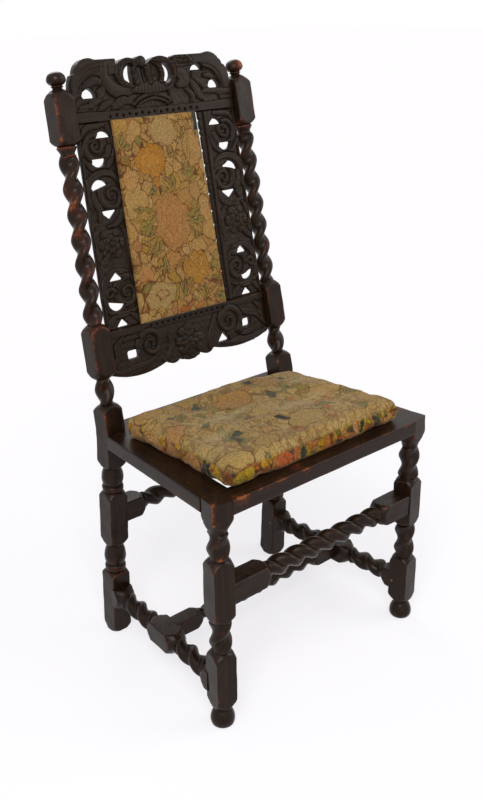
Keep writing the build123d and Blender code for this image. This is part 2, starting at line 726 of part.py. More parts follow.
def crest_rail():
    """The pierced crest, with its crown between two scrolled leaves."""
    face = crown_face() + crest_wing(-1) + crest_wing(1)
    for side in (-1, 1):
        face -= Pos(CROWN_SHIFT, 0) * crescent(side * 34, CREST_SHOULDER + 24, -side * 20, 36, 0.1)
    crest = board(face, CREST_THICKNESS)
    crest = cut(crest, [beyond(upper_post_place(side), -side, 0) for side in (-1, 1)])
    crest = cut(crest, [stile_tenons(side, FIT) for side in (-1, 1)])
    pegs = [upper_post_pegs(side)[1] for side in (-1, 1)]
    return with_tenons(crest, [board_joint(side, CREST_TENON_MIDDLE) for side in (-1, 1)], pegs)


def scalloped_half(side):
    """Half of the lower rail, in its right-hand form, scalloped below."""
    shift = side * CROWN_SHIFT
    cusp = LOWER_RAIL_END_FOOT - 2
    outer = post_inner(LOWER_RAIL_END_FOOT) + HALF
    face = outline(
        (0, LOWER_RAIL_TOP),
        (0, cusp - 10, 0),
        (shift, cusp - 10, 0),
        (shift + 25.5, cusp, -3),
        (shift + 57.5, cusp, -8),
        (outer - HALF, LOWER_RAIL_END_FOOT, -12),
        (outer, LOWER_RAIL_END_FOOT, 0),
        (outer, LOWER_RAIL_TOP, 0),
    )
    square = Pos(140, 127) * RectangleRounded(26, 17, 4)
    if side > 0:
        return face - square - wedge(78, 112, 34, 21)
    return mirror(face - square, about=Plane.YZ)


def lower_back_rail():
    """The pierced rail below the panel, with a scalloped lower edge."""
    rail = board(scalloped_half(-1) + scalloped_half(1), LOWER_RAIL_THICKNESS)
    rail = cut(rail, [beyond(upper_post_place(side), -side, 0) for side in (-1, 1)])
    rail = cut(rail, [stile_tenons(side, FIT) for side in (-1, 1)])
    pegs = [upper_post_pegs(side)[0] for side in (-1, 1)]
    return with_tenons(rail, [board_joint(side, LOWER_RAIL_TENON_MIDDLE) for side in (-1, 1)], pegs)


# ---------------------------------------------------------------- panel and cushion
def panel_slab(thickness, margin=0.0):
    """A slab on the front of the boards, inset by a margin from the panel's edges."""
    middle = ((PANEL_LEFT + PANEL_RIGHT) / 2, (PANEL_FOOT + PANEL_HEAD) / 2)
    width = PANEL_RIGHT - PANEL_LEFT - 2 * margin
    height = PANEL_HEAD - PANEL_FOOT - 2 * margin
    place = BACK * Pos(middle[0], -BOARD_FRONT - thickness / 2, middle[1])
    return place * Box(width, thickness, height)


def back_panel_board():
    return panel_slab(PANEL_BOARD_THICKNESS, NEEDLEWORK_WRAP)


def back_panel_needlework():
    """The worked cover, drawn over the board's face and edges."""
    cover = panel_slab(PANEL_BOARD_THICKNESS + NEEDLEWORK_THICKNESS)
    return cover - back_panel_board()


def squab_cushion():
    """The loose cushion: a soft-edged, slightly crowned slab on the seat frame."""
    width = SQUAB_RIGHT - SQUAB_LEFT
    depth = SQUAB_REAR - SQUAB_FRONT
    slab = extrude(RectangleRounded(width, depth, 30), SQUAB_HEIGHT)
    slab = fillet(slab.edges().group_by(Axis.Z)[-1], SQUAB_HEIGHT * 0.45)
    slab = fillet(slab.edges().group_by(Axis.Z)[0], SQUAB_HEIGHT * 0.2)
    middle = Pos((SQUAB_LEFT + SQUAB_RIGHT) / 2, (SQUAB_FRONT + SQUAB_REAR) / 2)
    return Pos(0, 0, SEAT_HEIGHT + SQUAB_REST) * middle * slab


# ---------------------------------------------------------------- the chair
def pins(places):
    return Compound([(place * peg()).solids()[0] for place in places])


def chair():
    """Every separate piece under its name."""
    pieces = {}
    for side, hand in ((-1, "left"), (1, "right")):
        pieces["front_leg_" + hand] = front_leg(side)
        pieces["rear_post_" + hand] = rear_post(side)
        pieces["seat_side_rail_" + hand] = seat_side_rail(side)
        pieces["side_stretcher_" + hand] = side_stretcher(side)
        pieces["back_stile_" + hand] = back_stile(side)
    pieces["seat_front_rail"] = seat_front_rail()
    pieces["seat_back_rail"] = seat_back_rail()
    pieces["front_stretcher"] = front_stretcher()
    pieces["rear_stretcher"] = rear_stretcher()
    pieces["medial_stretcher"] = medial_stretcher()
    pieces["crest_rail"] = crest_rail()
    pieces["lower_back_rail"] = lower_back_rail()
    pieces["back_panel_board"] = back_panel_board()
    pieces["back_panel_needlework"] = back_panel_needlework()
    pieces["squab_cushion"] = squab_cushion()
    pieces["seat_rail_plug"] = seat_plug()
    sides = (-1, 1)
    low = [place for side in sides for place in front_leg_pegs(side) + lower_post_pegs(side)]
    pieces["stretcher_pegs"] = pins(low + [under_peg(side) for side in sides])
    pieces["back_pegs"] = pins([place for side in sides for place in upper_post_pegs(side)])
    return pieces


os.makedirs("parts", exist_ok=True)
pieces = chair()
outer = Compound([solid for piece in pieces.values() for solid in piece.solids()]).bounding_box()
to_origin = Pos(0, -(outer.min.Y + outer.max.Y) / 2, 0)
for name, piece in pieces.items():
    export_step(to_origin * piece, "parts/" + name + ".step")
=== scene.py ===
# %% [markdown]
# # A joined high-back side chair
# The chair is turned, carved and stitched work: twisted legs and posts, a pierced back, a
# needlework panel and a loose squab. The solids of the joiner's model give every place and size.
# Here the same pieces get their fine forms and finishes. Everything is worked out in
# millimetres, as on a maker's drawing, and written to Blender in metres.

# %% Load the joined frame
import math

import bpy
import numpy as np
from mathutils import Matrix, Vector
from mathutils.geometry import delaunay_2d_cdt


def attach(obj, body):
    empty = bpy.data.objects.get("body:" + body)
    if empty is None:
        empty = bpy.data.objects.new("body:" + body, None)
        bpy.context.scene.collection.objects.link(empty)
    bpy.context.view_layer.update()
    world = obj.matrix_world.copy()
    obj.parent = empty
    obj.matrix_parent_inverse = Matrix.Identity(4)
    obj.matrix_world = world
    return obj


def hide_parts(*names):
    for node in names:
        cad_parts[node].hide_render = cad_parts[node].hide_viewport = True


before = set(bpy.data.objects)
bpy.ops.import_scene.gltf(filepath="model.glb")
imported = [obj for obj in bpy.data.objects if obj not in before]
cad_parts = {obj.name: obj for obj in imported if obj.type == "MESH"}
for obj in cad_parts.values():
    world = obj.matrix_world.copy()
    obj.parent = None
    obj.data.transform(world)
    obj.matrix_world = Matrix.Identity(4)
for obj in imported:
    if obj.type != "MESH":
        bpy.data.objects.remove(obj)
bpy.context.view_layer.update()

print("solids:", sorted(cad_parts))

# %% [markdown]
# ## View
# A portrait lens a little above the seat, looking down at the left front corner, shows the
# front, one side and the top of the seat at once. The camera is placed by yaw, pitch and roll,
# because those are the numbers that are set on a tripod head.

# %% Camera
lens = bpy.data.cameras.new("studio_camera")
lens.lens = 43.2
lens.sensor_width = 36.0
camera = bpy.data.objects.new("studio_camera", lens)
yaw, pitch, roll = 40.86, -22.81, -0.90
aim = Matrix.Rotation(math.radians(-yaw), 4, "Z") @ Matrix.Rotation(math.radians(90 + pitch), 4, "X")
aim = aim @ Matrix.Rotation(math.radians(roll), 4, "Z")
camera.matrix_world = Matrix.Translation((-1.0943, -1.2746, 1.1897)) @ aim
bpy.context.collection.objects.link(camera)
bpy.context.scene.camera = camera
bpy.context.scene.view_settings.view_transform = "Standard"
print("camera looks along", tuple(round(x, 3) for x in aim @ Vector((0, 0, -1))))


# %% [markdown]
# ## Colours and nodes
# Colours are picked as sRGB hex values, as a dyer's chart gives them, and turned to the linear
# values that shaders add up. One small function adds any node, so that a material reads as a
# list of what is done to the surface.

# %% Colour and node helpers
def linear(code):
    """Linear red, green, blue, alpha of an sRGB hex colour such as #33271F."""
    parts = [int(code[i:i + 2], 16) / 255 for i in (1, 3, 5)]
    return tuple(c / 12.92 if c <= 0.04045 else ((c + 0.055) / 1.055) ** 2.4 for c in parts) + (1.0,)


def add(tree, kind, inputs=None, stops=None, **settings):
    """A new node with its settings; inputs are numbers, colours or the sockets to link."""
    node = tree.nodes.new("ShaderNode" + kind)
    for name, value in settings.items():
        setattr(node, name, value)
    for name, value in (inputs or {}).items():
        if isinstance(value, bpy.types.NodeSocket):
            tree.links.new(value, node.inputs[name])
        else:
            node.inputs[name].default_value = value
    if stops:
        ramp = node.color_ramp.elements
        while len(ramp) < len(stops):
            ramp.new(1.0)
        for element, (place, colour) in zip(ramp, stops):
            element.position = place
            element.color = linear(colour) if isinstance(colour, str) else (colour,) * 3 + (1.0,)
    return node


def new_material(name):
    material = bpy.data.materials.new(name)
    material.use_nodes = True
    material.node_tree.nodes.clear()
    return material, material.node_tree


# %% [markdown]
# ## World
# The world gives a dim even light, and is plain white where it is seen directly or in a shiny
# surface. A picture of a room could light the chair too, but would tint it.

# %% World
def seen_directly(tree):
    """1 for what the camera sees, also through glass or in metal, and 0 for light on the object."""
    ray = add(tree, "LightPath").outputs
    seen = add(tree, "Math", {0: ray["Is Camera Ray"], 1: ray["Is Transmission Ray"]}, operation="MAXIMUM")
    return add(tree, "Math", {0: seen.outputs[0], 1: ray["Is Glossy Ray"]}, operation="MAXIMUM").outputs[0]


world = bpy.data.worlds.new("studio")
bpy.context.scene.world = world
world.use_nodes = True
tree = world.node_tree
tree.nodes.clear()
glow = add(tree, "Background", {"Color": linear("#FFFFFF"), "Strength": 1.0})
soft = add(tree, "Background", {"Color": linear("#F4F6FA"), "Strength": 0.62})
mixed = add(tree, "MixShader", {0: seen_directly(tree), 1: soft.outputs[0], 2: glow.outputs[0]})
add(tree, "OutputWorld", {"Surface": mixed.outputs[0]})
print("world nodes:", len(tree.nodes))


# %% [markdown]
# ## Floor
# A studio sweep is a white floor that runs up behind the object. The floor is plain and pale and
# keeps the soft shadow. Further off it glows white to the camera, as an evenly lit sweep does.

# %% Paper floor
NEAR_CHAIR, FAR_OFF = 0.5, 1.6        # metres from the middle, between which the floor turns white
REACH = 30.0
sweep, tree = new_material("matt_white_paper")
paper = add(tree, "BsdfDiffuse", {"Color": linear("#F4F3F6"), "Roughness": 1.0})
seen = seen_directly(tree)
away = add(tree, "VectorMath", {0: add(tree, "NewGeometry").outputs["Position"]},
           operation="LENGTH").outputs["Value"]
whiter = add(tree, "MapRange", {0: away, 1: NEAR_CHAIR, 2: FAR_OFF, 3: 0.66, 4: 1.0},
             interpolation_type="SMOOTHSTEP").outputs[0]
lit = add(tree, "Emission", {"Color": linear("#FFFDFF"), "Strength": 1.0})
pale = add(tree, "MixShader", {0: whiter, 1: paper.outputs[0], 2: lit.outputs[0]})
shown = add(tree, "MixShader", {0: seen, 1: paper.outputs[0], 2: pale.outputs[0]})
add(tree, "OutputMaterial", {"Surface": shown.outputs[0]})
floor_mesh = bpy.data.meshes.new("floor")
floor_mesh.from_pydata([(-REACH, -REACH, 0), (REACH, -REACH, 0), (REACH, REACH, 0), (-REACH, REACH, 0)],
        [], [(0, 1, 2, 3)])
floor_mesh.materials.append(sweep)
floor = bpy.data.objects.new("floor", floor_mesh)
bpy.context.collection.objects.link(floor)
print("floor is", 2 * REACH, "m across")


# %% [markdown]
# ## Lamps
# Three big soft lamps stand round the chair, the strongest at the front left. Small ones would
# burn spots into the wax.

# %% Lamps
LAMPS = (
    ("key_softbox", (-1.6, -1.7, 2.4), 1.5, 46.0),
    ("fill_softbox", (2.0, -1.4, 1.9), 1.6, 22.0),
    ("back_softbox", (0.6, 2.2, 2.6), 1.6, 26.0),
)
LIT_POINT = Vector((0, 0, 0.5))
for name, place, size, power in LAMPS:
    lamp = bpy.data.lights.new(name, "AREA")
    lamp.shape = "SQUARE"
    lamp.size = size
    lamp.energy = power
    holder = bpy.data.objects.new(name, lamp)
    holder.location = place
    holder.rotation_euler = (LIT_POINT - Vector(place)).to_track_quat("-Z", "Y").to_euler()
    bpy.context.collection.objects.link(holder)
    print(name, "gives", power, "W from", place)


# %% [markdown]
# ## Stained and waxed walnut
# Close-grained wood stained nearly black and waxed over and over. Hands and feet have
# thinned the stain to a red-brown on the ridges and arrises and worn through it in flecks, where
# orange wood shows. Dust has dulled the hollows, which are also painted near-black as painted shade.
# Each piece carries a number named rubbed, from 0 in a hollow over 0.5 on a flat to 1 on an
# arris, so the wear and the painted shade follow the real edges in every view and need no painted picture.

# %% Walnut
def stained_waxed_walnut(name, along, stain, pale, gloss, shine):
    """Grain runs along x, y or z. Real pores are some 0.2 mm wide; these are 0.8 mm, so that they show."""
    material, tree = new_material(name)
    place = add(tree, "TexCoord").outputs["Object"]
    pore, length = 1 / 0.0008, 1 / 0.030
    scale = tuple(length if axis == along else pore for axis in "xyz")
    grain_place = add(tree, "Mapping", {"Vector": place, "Scale": scale}).outputs[0]
    grain = add(tree, "TexNoise", {"Vector": grain_place, "Scale": 1.0, "Detail": 3.0,
            "Roughness": 0.6}).outputs[0]
    figure_scale = tuple(s * 0.09 for s in scale)
    figure_place = add(tree, "Mapping", {"Vector": place, "Scale": figure_scale}).outputs[0]
    figure = add(tree, "TexNoise", {"Vector": figure_place, "Scale": 1.0, "Detail": 2.0,
            "Distortion": 0.6}).outputs[0]
    patches = add(tree, "TexNoise", {"Vector": place, "Scale": 24.0, "Detail": 4.0,
            "Roughness": 0.6}).outputs[0]
    nicks = add(tree, "TexNoise", {"Vector": place, "Scale": 170.0, "Detail": 4.0,
            "Roughness": 0.7}).outputs[0]
    tone = add(tree, "Math", {0: figure, 1: 0.55, 2: 0.0}, operation="MULTIPLY_ADD").outputs[0]
    tone = add(tree, "Math", {0: grain, 1: 0.45, 2: tone}, operation="MULTIPLY_ADD").outputs[0]
    body = add(tree, "ValToRGB", {0: tone}, [(0.34, stain), (0.55, pale), (0.74, "#33200F")]).outputs[0]
    rubbed = add(tree, "Attribute", attribute_name="rubbed").outputs["Fac"]
    # wear comes in patches of some 40 mm and flecks of some 6 mm, never as an even line
    broad = add(tree, "MapRange", {0: patches, 1: 0.40, 2: 0.62, 3: -0.34, 4: 0.10}).outputs[0]
    fine = add(tree, "MapRange", {0: nicks, 1: 0.35, 2: 0.65, 3: -0.16, 4: 0.14}).outputs[0]
    worn_here = add(tree, "Math", {0: rubbed, 1: broad}, operation="ADD").outputs[0]
    worn_here = add(tree, "Math", {0: worn_here, 1: fine}, operation="ADD").outputs[0]
    thin = add(tree, "MapRange", {0: worn_here, 1: 0.62, 2: 0.95, 3: 0.0, 4: 0.85},
               interpolation_type="SMOOTHSTEP").outputs[0]
    bare = add(tree, "MapRange", {0: worn_here, 1: 0.93, 2: 1.18, 3: 0.0, 4: 0.9},
               interpolation_type="SMOOTHSTEP").outputs[0]
    colour = add(tree, "Mix", {0: thin, 6: body, 7: linear("#442012")}, data_type="RGBA").outputs[2]
    wood = add(tree, "ValToRGB", {0: grain}, [(0.3, "#5E2C16"), (0.55, "#854822"),
            (0.8, "#AE703C")]).outputs[0]
    colour = add(tree, "Mix", {0: bare, 6: colour, 7: wood}, data_type="RGBA").outputs[2]
    # painted shade: where the skin bends inwards its colour is darkened to near-black #0D0A08; the same mask
    # also makes the hollows duller, as dust does
    hollow = add(tree, "MapRange", {0: rubbed, 1: 0.45, 2: 0.20, 3: 0.0, 4: 0.85}).outputs[0]
    colour = add(tree, "Mix", {0: hollow, 6: colour, 7: linear("#0D0A08")}, data_type="RGBA").outputs[2]
    dull = add(tree, "MapRange", {0: patches, 1: 0.35, 2: 0.65, 3: gloss, 4: gloss + 0.14}).outputs[0]
    dull = add(tree, "Math", {0: hollow, 1: 0.20, 2: dull}, operation="MULTIPLY_ADD").outputs[0]
    dull = add(tree, "Math", {0: bare, 1: 0.12, 2: dull}, operation="MULTIPLY_ADD").outputs[0]
    relief = add(tree, "Math", {0: nicks, 1: 0.6, 2: 0.0}, operation="MULTIPLY_ADD").outputs[0]
    relief = add(tree, "Math", {0: grain, 1: 0.4, 2: relief}, operation="MULTIPLY_ADD").outputs[0]
    bump = add(tree, "Bump", {"Height": relief, "Strength": 0.35, "Distance": 0.0006}).outputs[0]
    shell = add(tree, "BsdfPrincipled", {"Base Color": colour, "Roughness": dull, "Normal": bump,
            "IOR": 1.45, "Specular IOR Level": shine})
    add(tree, "OutputMaterial", {"Surface": shell.outputs[0]})
    return material


walnut = {axis: stained_waxed_walnut("stained_waxed_walnut_" + axis, axis, "#150D08", "#25170E", 0.22, 0.17)
          for axis in "xyz"}
carved_walnut = {axis: stained_waxed_walnut("carved_walnut_" + axis, axis, "#17100B", "#251A11", 0.33, 0.15)
        for axis in "xz"}
print("walnut finishes:", len(walnut) + len(carved_walnut))


# %% [markdown]
# ## Pine and oak
# The board behind the needlework is planed pine gone brown, with growth rings as soft bands.
# Pegs are split oak, paler and open-grained, left without stain.

# %% Plain woods
def plain_wood(name, light, dark, ring):
    """Unstained wood whose growth rings are ring metres apart."""
    material, tree = new_material(name)
    place = add(tree, "TexCoord").outputs["Object"]
    laid = add(tree, "Mapping", {"Vector": place, "Scale": (1 / ring, 1 / ring, 2.0)}).outputs[0]
    rings = add(tree, "TexWave", {"Vector": laid, "Scale": 0.35, "Distortion": 5.0,
            "Detail": 3.0}).outputs[0]
    fine = add(tree, "TexNoise", {"Vector": laid, "Scale": 9.0, "Detail": 3.0}).outputs[0]
    tone = add(tree, "Math", {0: fine, 1: 0.5, 2: 0.0}, operation="MULTIPLY_ADD").outputs[0]
    tone = add(tree, "Math", {0: rings, 1: 0.5, 2: tone}, operation="MULTIPLY_ADD").outputs[0]
    colour = add(tree, "ValToRGB", {0: tone}, [(0.2, dark), (0.75, light)]).outputs[0]
    dull = add(tree, "Math", {0: tone, 1: 0.2, 2: 0.55}, operation="MULTIPLY_ADD").outputs[0]
    bump = add(tree, "Bump", {"Height": tone, "Strength": 0.3, "Distance": 0.0005}).outputs[0]
    shell = add(tree, "BsdfPrincipled", {"Base Color": colour, "Roughness": dull, "Normal": bump,
            "IOR": 1.5})
    add(tree, "OutputMaterial", {"Surface": shell.outputs[0]})
    return material


planed_pine = plain_wood("planed_aged_pine", "#7A5C3E", "#54391F", 0.006)
split_oak = plain_wood("split_oak", "#6A4B2E", "#3A2616", 0.002)
print("plain woods:", planed_pine.name, split_oak.name)


# %% [markdown]
# ## Wool needlework
# Tent stitch in dyed wool on canvas: each stitch is a short slanting bump, 1.6 mm on the panel and
# 1.8 mm on the coarser squab, and no two take the dye alike. Which wool lies where is a colour at
# each point of the piece; the material adds stitches with painted shade between them, fading and the sheen of
# the fuzz.

# %% Needlework
def wool_needlework(name, stitch):
    """Tent stitches that are stitch metres across, over the wool colours of the piece."""
    material, tree = new_material(name)
    place = add(tree, "TexCoord").outputs["Object"]
    wool = add(tree, "Attribute", attribute_name="wool").outputs["Color"]
    laid = add(tree, "Mapping", {"Vector": place, "Rotation": (0.35, 0.6, 0.5)}).outputs[0]
    cell = add(tree, "TexVoronoi", {"Vector": laid, "Scale": 1 / stitch, "Randomness": 0.6})
    each = add(tree, "SeparateColor", {0: cell.outputs["Color"]}).outputs[0]
    wear = add(tree, "TexNoise", {"Vector": place, "Scale": 30.0, "Detail": 6.0,
            "Roughness": 0.65}).outputs[0]
    fade = add(tree, "MapRange", {0: wear, 1: 0.45, 2: 0.72, 3: 0.0, 4: 0.26}).outputs[0]
    colour = add(tree, "Mix", {0: fade, 6: wool, 7: linear("#93794C")}, data_type="RGBA").outputs[2]
    shade = add(tree, "MapRange", {0: each, 1: 0.0, 2: 1.0, 3: 0.62, 4: 1.22}).outputs[0]
    # painted shade: each stitch is darkened towards its edge, as the shade between stitches
    painted_gap_shade = add(tree, "MapRange", {0: cell.outputs["Distance"], 1: 0.35, 2: 0.75, 3: 1.0, 4: 0.62}).outputs[0]
    shade = add(tree, "Math", {0: shade, 1: painted_gap_shade}, operation="MULTIPLY").outputs[0]
    colour = add(tree, "VectorMath", {0: colour, "Scale": shade}, operation="SCALE").outputs[0]
    height = add(tree, "Math", {0: 1.0, 1: cell.outputs["Distance"]}, operation="SUBTRACT").outputs[0]
    bump = add(tree, "Bump", {"Height": height, "Strength": 0.7, "Distance": 0.0010}).outputs[0]
    shell = add(tree, "BsdfPrincipled", {"Base Color": colour, "Roughness": 0.92, "Normal": bump,
            "IOR": 1.45, "Specular IOR Level": 0.15,
            "Sheen Weight": 0.08, "Sheen Roughness": 0.5})
    add(tree, "OutputMaterial", {"Surface": shell.outputs[0]})
    return material


panel_wool = wool_needlework("faded_wool_tent_stitch", 0.0016)
squab_wool = wool_needlework("worn_wool_tent_stitch", 0.0018)
print("needlework:", panel_wool.name, squab_wool.name)


# %% [markdown]
# ## Hand work and wear
# Nothing here is quite straight, so a sum of slow waves moves every skin a little. Where it bends
# outwards, hands have rubbed it. That could be painted on, but it is worked out from the form, so
# that it stays right when a form is changed.

# %% Waves and wear
MM = 0.001
RING = 64


def uneven(points, size, depth, seed):
    """A gentle hand-made waviness at 3-D points in mm: waves of about size mm, depth mm high."""
    generator = np.random.default_rng(seed)
    total = np.zeros(len(points))
    for _ in range(6):
        direction = generator.normal(size=3)
        direction *= 2 * math.pi / (size * generator.uniform(0.6, 1.7)) / np.linalg.norm(direction)
        total += np.sin(points @ direction + generator.uniform(0, 6.28))
    return depth * total / 2.5


def positions(mesh):
    """Points of a mesh in mm."""
    found = np.zeros(len(mesh.vertices) * 3)
    mesh.vertices.foreach_get("co", found)
    return found.reshape(-1, 3) / MM


def rub(mesh, radius=3.0, passes=1, spots=()):
    """Stores how sharply the skin bends out (towards 1) or in (towards 0) at each point.

    Each spot is a place in mm, a reach in mm and an amount: where use or a knock has worn more; some on the
    left post also paint a highlight on its lit side.
    """
    count = len(mesh.vertices)
    here = positions(mesh)
    normal = np.zeros(count * 3)
    mesh.vertices.foreach_get("normal", normal)
    normal = normal.reshape(-1, 3)
    pairs = np.zeros(len(mesh.edges) * 2, int)
    mesh.edges.foreach_get("vertices", pairs)
    a, b = pairs.reshape(-1, 2).T
    step = here[b] - here[a]
    bend = ((normal[b] - normal[a]) * step).sum(1) / np.maximum((step ** 2).sum(1), 0.05)
    touching = np.bincount(a, minlength=count) + np.bincount(b, minlength=count)
    value = (np.bincount(a, bend, count) + np.bincount(b, bend, count)) / np.maximum(touching, 1)
    for _ in range(passes):
        near = np.bincount(a, value[b], count) + np.bincount(b, value[a], count)
        value = 0.5 * value + 0.5 * near / np.maximum(touching, 1)
    value = 0.5 + 0.5 * np.tanh(value * radius)
    for place, reach, amount in spots:
        value += amount * np.exp(-((here - place) ** 2).sum(1) / reach ** 2)
    attribute = mesh.attributes.new("rubbed", "FLOAT", "POINT")
    attribute.data.foreach_set("value", np.asarray(value, np.float32))


def placed(place, spots):
    """Wear spots of a member's own frame, moved to the chair's frame; on the left post some also paint a
    highlight on its lit side.
    """
    return [(tuple(place @ Vector(where)), reach, amount) for where, reach, amount in spots]


print("a 9 mm wave at the origin:", uneven(np.zeros((1, 3)), 9.0, 0.25, 7).round(3))


# %% [markdown]
# ## From rings to solids
# Legs, posts and bars are long and change section all the way: square, rounded, twisted. Each is
# a stack of rings of 64 points joined by faces, which a lathe man would call a series of
# callipered sections. That keeps each one a single closed skin, with dense rings only where the
# form changes.

# %% Rings and pieces
def piece(name, points, faces, material, body="chair", slot="dark_wood", sharp=40.0):
    """A named piece from points in mm, shaded smooth but for edges over sharp degrees."""
    mesh = bpy.data.meshes.new(name)
    mesh.from_pydata((np.asarray(points) * MM).tolist(), [], [tuple(f) for f in faces])
    mesh.validate()
    mesh.materials.append(material)
    mesh.shade_smooth()
    mesh.set_sharp_from_angle(angle=math.radians(sharp))
    made = bpy.data.objects.new(name, mesh)
    bpy.context.collection.objects.link(made)
    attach(made, body)
    return made


def skin(rings):
    """Points and faces of a closed skin over rings of equal count, capped at both ends."""
    count = len(rings[0])
    points = [p for ring in rings for p in ring]
    faces = []
    for level in range(len(rings) - 1):
        low, high = level * count, (level + 1) * count
        for i in range(count):
            j = (i + 1) % count
            faces.append((low + i, low + j, high + j, high + i))
    for level, order in ((0, -1), (len(rings) - 1, 1)):
        middle = len(points)
        points.append(np.mean(rings[level], axis=0))
        start = level * count
        for i in range(count):
            j = (i + 1) % count
            faces.append((start + i, start + j, middle)[::order])
    return np.array(points), faces


print("a bar of 10 rings has", len(skin([[(0, 0, z)] * RING for z in range(10)])[1]), "faces")


# %% [markdown]
# ## The turner's forms
# A leg starts as a 40 mm square. The lathe rounds the shoulders of each square and cuts the
# turnings between; the twists are then sawn and rasped by hand, as two narrow ridges wound round
# wide flutes. A section is therefore given by its radius at every angle.

# %% Sections
CORNERS = np.array([45, 135, 225, 315])
EVEN = np.arange(0, 360, 360 / RING)


def ring_angles():
    """Even angles, with five of them drawn to each corner of a square to hold its arris."""
    angles = EVEN.copy()
    for corner in CORNERS:
        near = np.argsort(np.abs(angles - corner))[:5]
        angles[np.sort(near)] = corner + np.array([-6.0, -2.3, 0.0, 2.3, 6.0])
    return np.radians(np.sort(angles))


SQUARE_ANGLES = ring_angles()


def square_radius(angles, half, arris=1.5):
    """Radius of a square section whose arrises are worn off."""
    across = np.maximum(np.abs(np.cos(angles)), np.abs(np.sin(angles)))
    both = np.abs(np.cos(angles)) + np.abs(np.sin(angles))
    return np.minimum(half / across, (2 * half - arris) / both)


def twist_radius(angles, ridge, waist, power):
    """Radius of the two-ridged section that is wound to a twist; a higher power narrows the ridges."""
    return waist / 2 + (ridge - waist) / 2 * np.abs(np.cos(angles)) ** power


print("a 40 mm square reaches", square_radius(SQUARE_ANGLES, 20).max().round(1), "mm at its arris")


# %% [markdown]
# ### Lengths of a member
# A member is made of square lengths, twists and turnings. Each is a list of rings, and stacking
# the lists gives the member. Where a square meets a turning, its corners are rounded to a
# shoulder, which is an ogee where it is long and a dome where it is short.

# %% Lengths of a member
def shoulder_share(share, ogee):
    """How far a shoulder has opened from its neck (0) to the square's corner (1)."""
    if ogee:
        return 0.25 * share + 0.75 * share * share * (3 - 2 * share)
    return (share + 0.8 * share * (1 - share)) * (1 - 0.35 * max(0.0, 1 - share / 0.22) ** 2)


def squared(bottom, top, size, low_neck, high_neck, low_run=18.0, high_run=18.0):
    """Rings (height, angles, radii) of a square length; a neck of None leaves a flat end.

    A shoulder longer than 22 mm is an ogee, a shorter one a dome.
    """
    corner = size * 0.71
    ends = [(neck, edge, inward, run) for neck, edge, inward, run in
            ((low_neck, bottom, 1, low_run), (high_neck, top, -1, high_run)) if neck is not None]
    heights = {bottom, top}
    for neck, edge, inward, run in ends:
        heights.update(edge + inward * run * share
                       for share in (0.05, 0.12, 0.2, 0.3, 0.42, 0.54, 0.66, 0.78, 0.9, 1.0, 1.1))
    heights.update(np.linspace(bottom, top, max(2, int((top - bottom) / 9)))[1:-1])
    rings = []
    for z in sorted(heights):
        radii = square_radius(SQUARE_ANGLES, size / 2)
        for neck, edge, inward, run in ends:
            share = min(1.0, inward * (z - edge) / run)
            radii = np.minimum(radii, neck + (corner - neck) * shoulder_share(share, run > 22))
        rings.append((z, SQUARE_ANGLES, radii))
    return rings


def twisted(bottom, top, ridge, waist, pitch, phase=0.0, neck=15.5, run_in=5.0, power=2.0):
    """Rings of a barley twist that dies into its necks; phase in degrees turns its start."""
    count = max(8, int((top - bottom) / 1.8))
    rings = []
    for z in np.linspace(bottom, top, count):
        rise = z - bottom
        turn = math.radians(phase) + 2 * math.pi * rise / pitch
        share = min(1.0, rise / run_in, (top - z) / run_in)
        limit = neck + (ridge / 2 - neck) * math.sin(share * math.pi / 2)
        floor = (neck - 1.5) * (1 - share)
        angles = np.radians(EVEN)
        rings.append((z, angles + turn,
                      np.maximum(np.minimum(twist_radius(angles, ridge, waist, power), limit), floor)))
    return rings


def with_ends(points):
    """Points with one more before and after them, so that a curve can pass through them all."""
    points = np.array(points, float)
    return np.vstack((2 * points[0] - points[1], points, 2 * points[-1] - points[-2]))


def curve_point(p0, p1, p2, p3, t):
    """The point at share t of the way from p1 to p2, on a smooth curve through all four."""
    return 0.5 * (2 * p1 + (p2 - p0) * t + (2 * p0 - 5 * p1 + 4 * p2 - p3) * t * t
                  + (3 * p1 - p0 - 3 * p2 + p3) * t ** 3)


def lathed(*profile):
    """Rings of a turning through (radius, height) points, as a smooth line."""
    ends = with_ends(profile)
    rings = []
    for k in range(len(profile) - 1):
        p0, p1, p2, p3 = ends[k:k + 4]
        steps = max(2, int(np.linalg.norm(p2 - p1) / 1.3))
        for t in np.linspace(0, 1, steps, endpoint=k == len(profile) - 2):
            radius, height = curve_point(p0, p1, p2, p3, t)
            rings.append((max(p1[1], min(p2[1], height)), np.radians(EVEN), np.full(RING, radius)))
    return rings


def stacked(place, *lengths, seed=1, hand=0.25):
    """Rings in mm, in the chair's frame, of a member built up from lengths along its Z axis."""
    matrix = np.array(place)
    rings = []
    shift = 0
    last = None
    for length in lengths:
        first = length[0][1]
        if last is not None:
            off = (first - last[0] + math.pi) % (2 * math.pi) - math.pi
            shift = int(np.argmin(np.abs(off)))
        for z, angles, radii in length:
            a, r = np.roll(angles, -shift), np.roll(radii, -shift)
            flat = np.column_stack((r * np.cos(a), r * np.sin(a), np.full(RING, z), np.ones(RING)))
            flat[:, :2] *= (1 + uneven(flat[:, :3] + 57 * seed, 38.0, hand, seed) / 20)[:, None]
            rings.append((flat @ matrix.T)[:, :3])
        last = np.roll(length[-1][1], -shift)
    return rings


print("an 80 mm length of twist has", len(twisted(0, 80, 40, 28, 80)), "rings")


# %% [markdown]
# ## Front legs
# Each leg stands turned out by 8.8 degrees on a ball foot. Three squares take the joints, and
# two short twists lighten the leg between them. The turner set out each leg by eye, so the two
# legs differ. Wear is heaviest at the left leg's front corner, where feet and brooms pass.

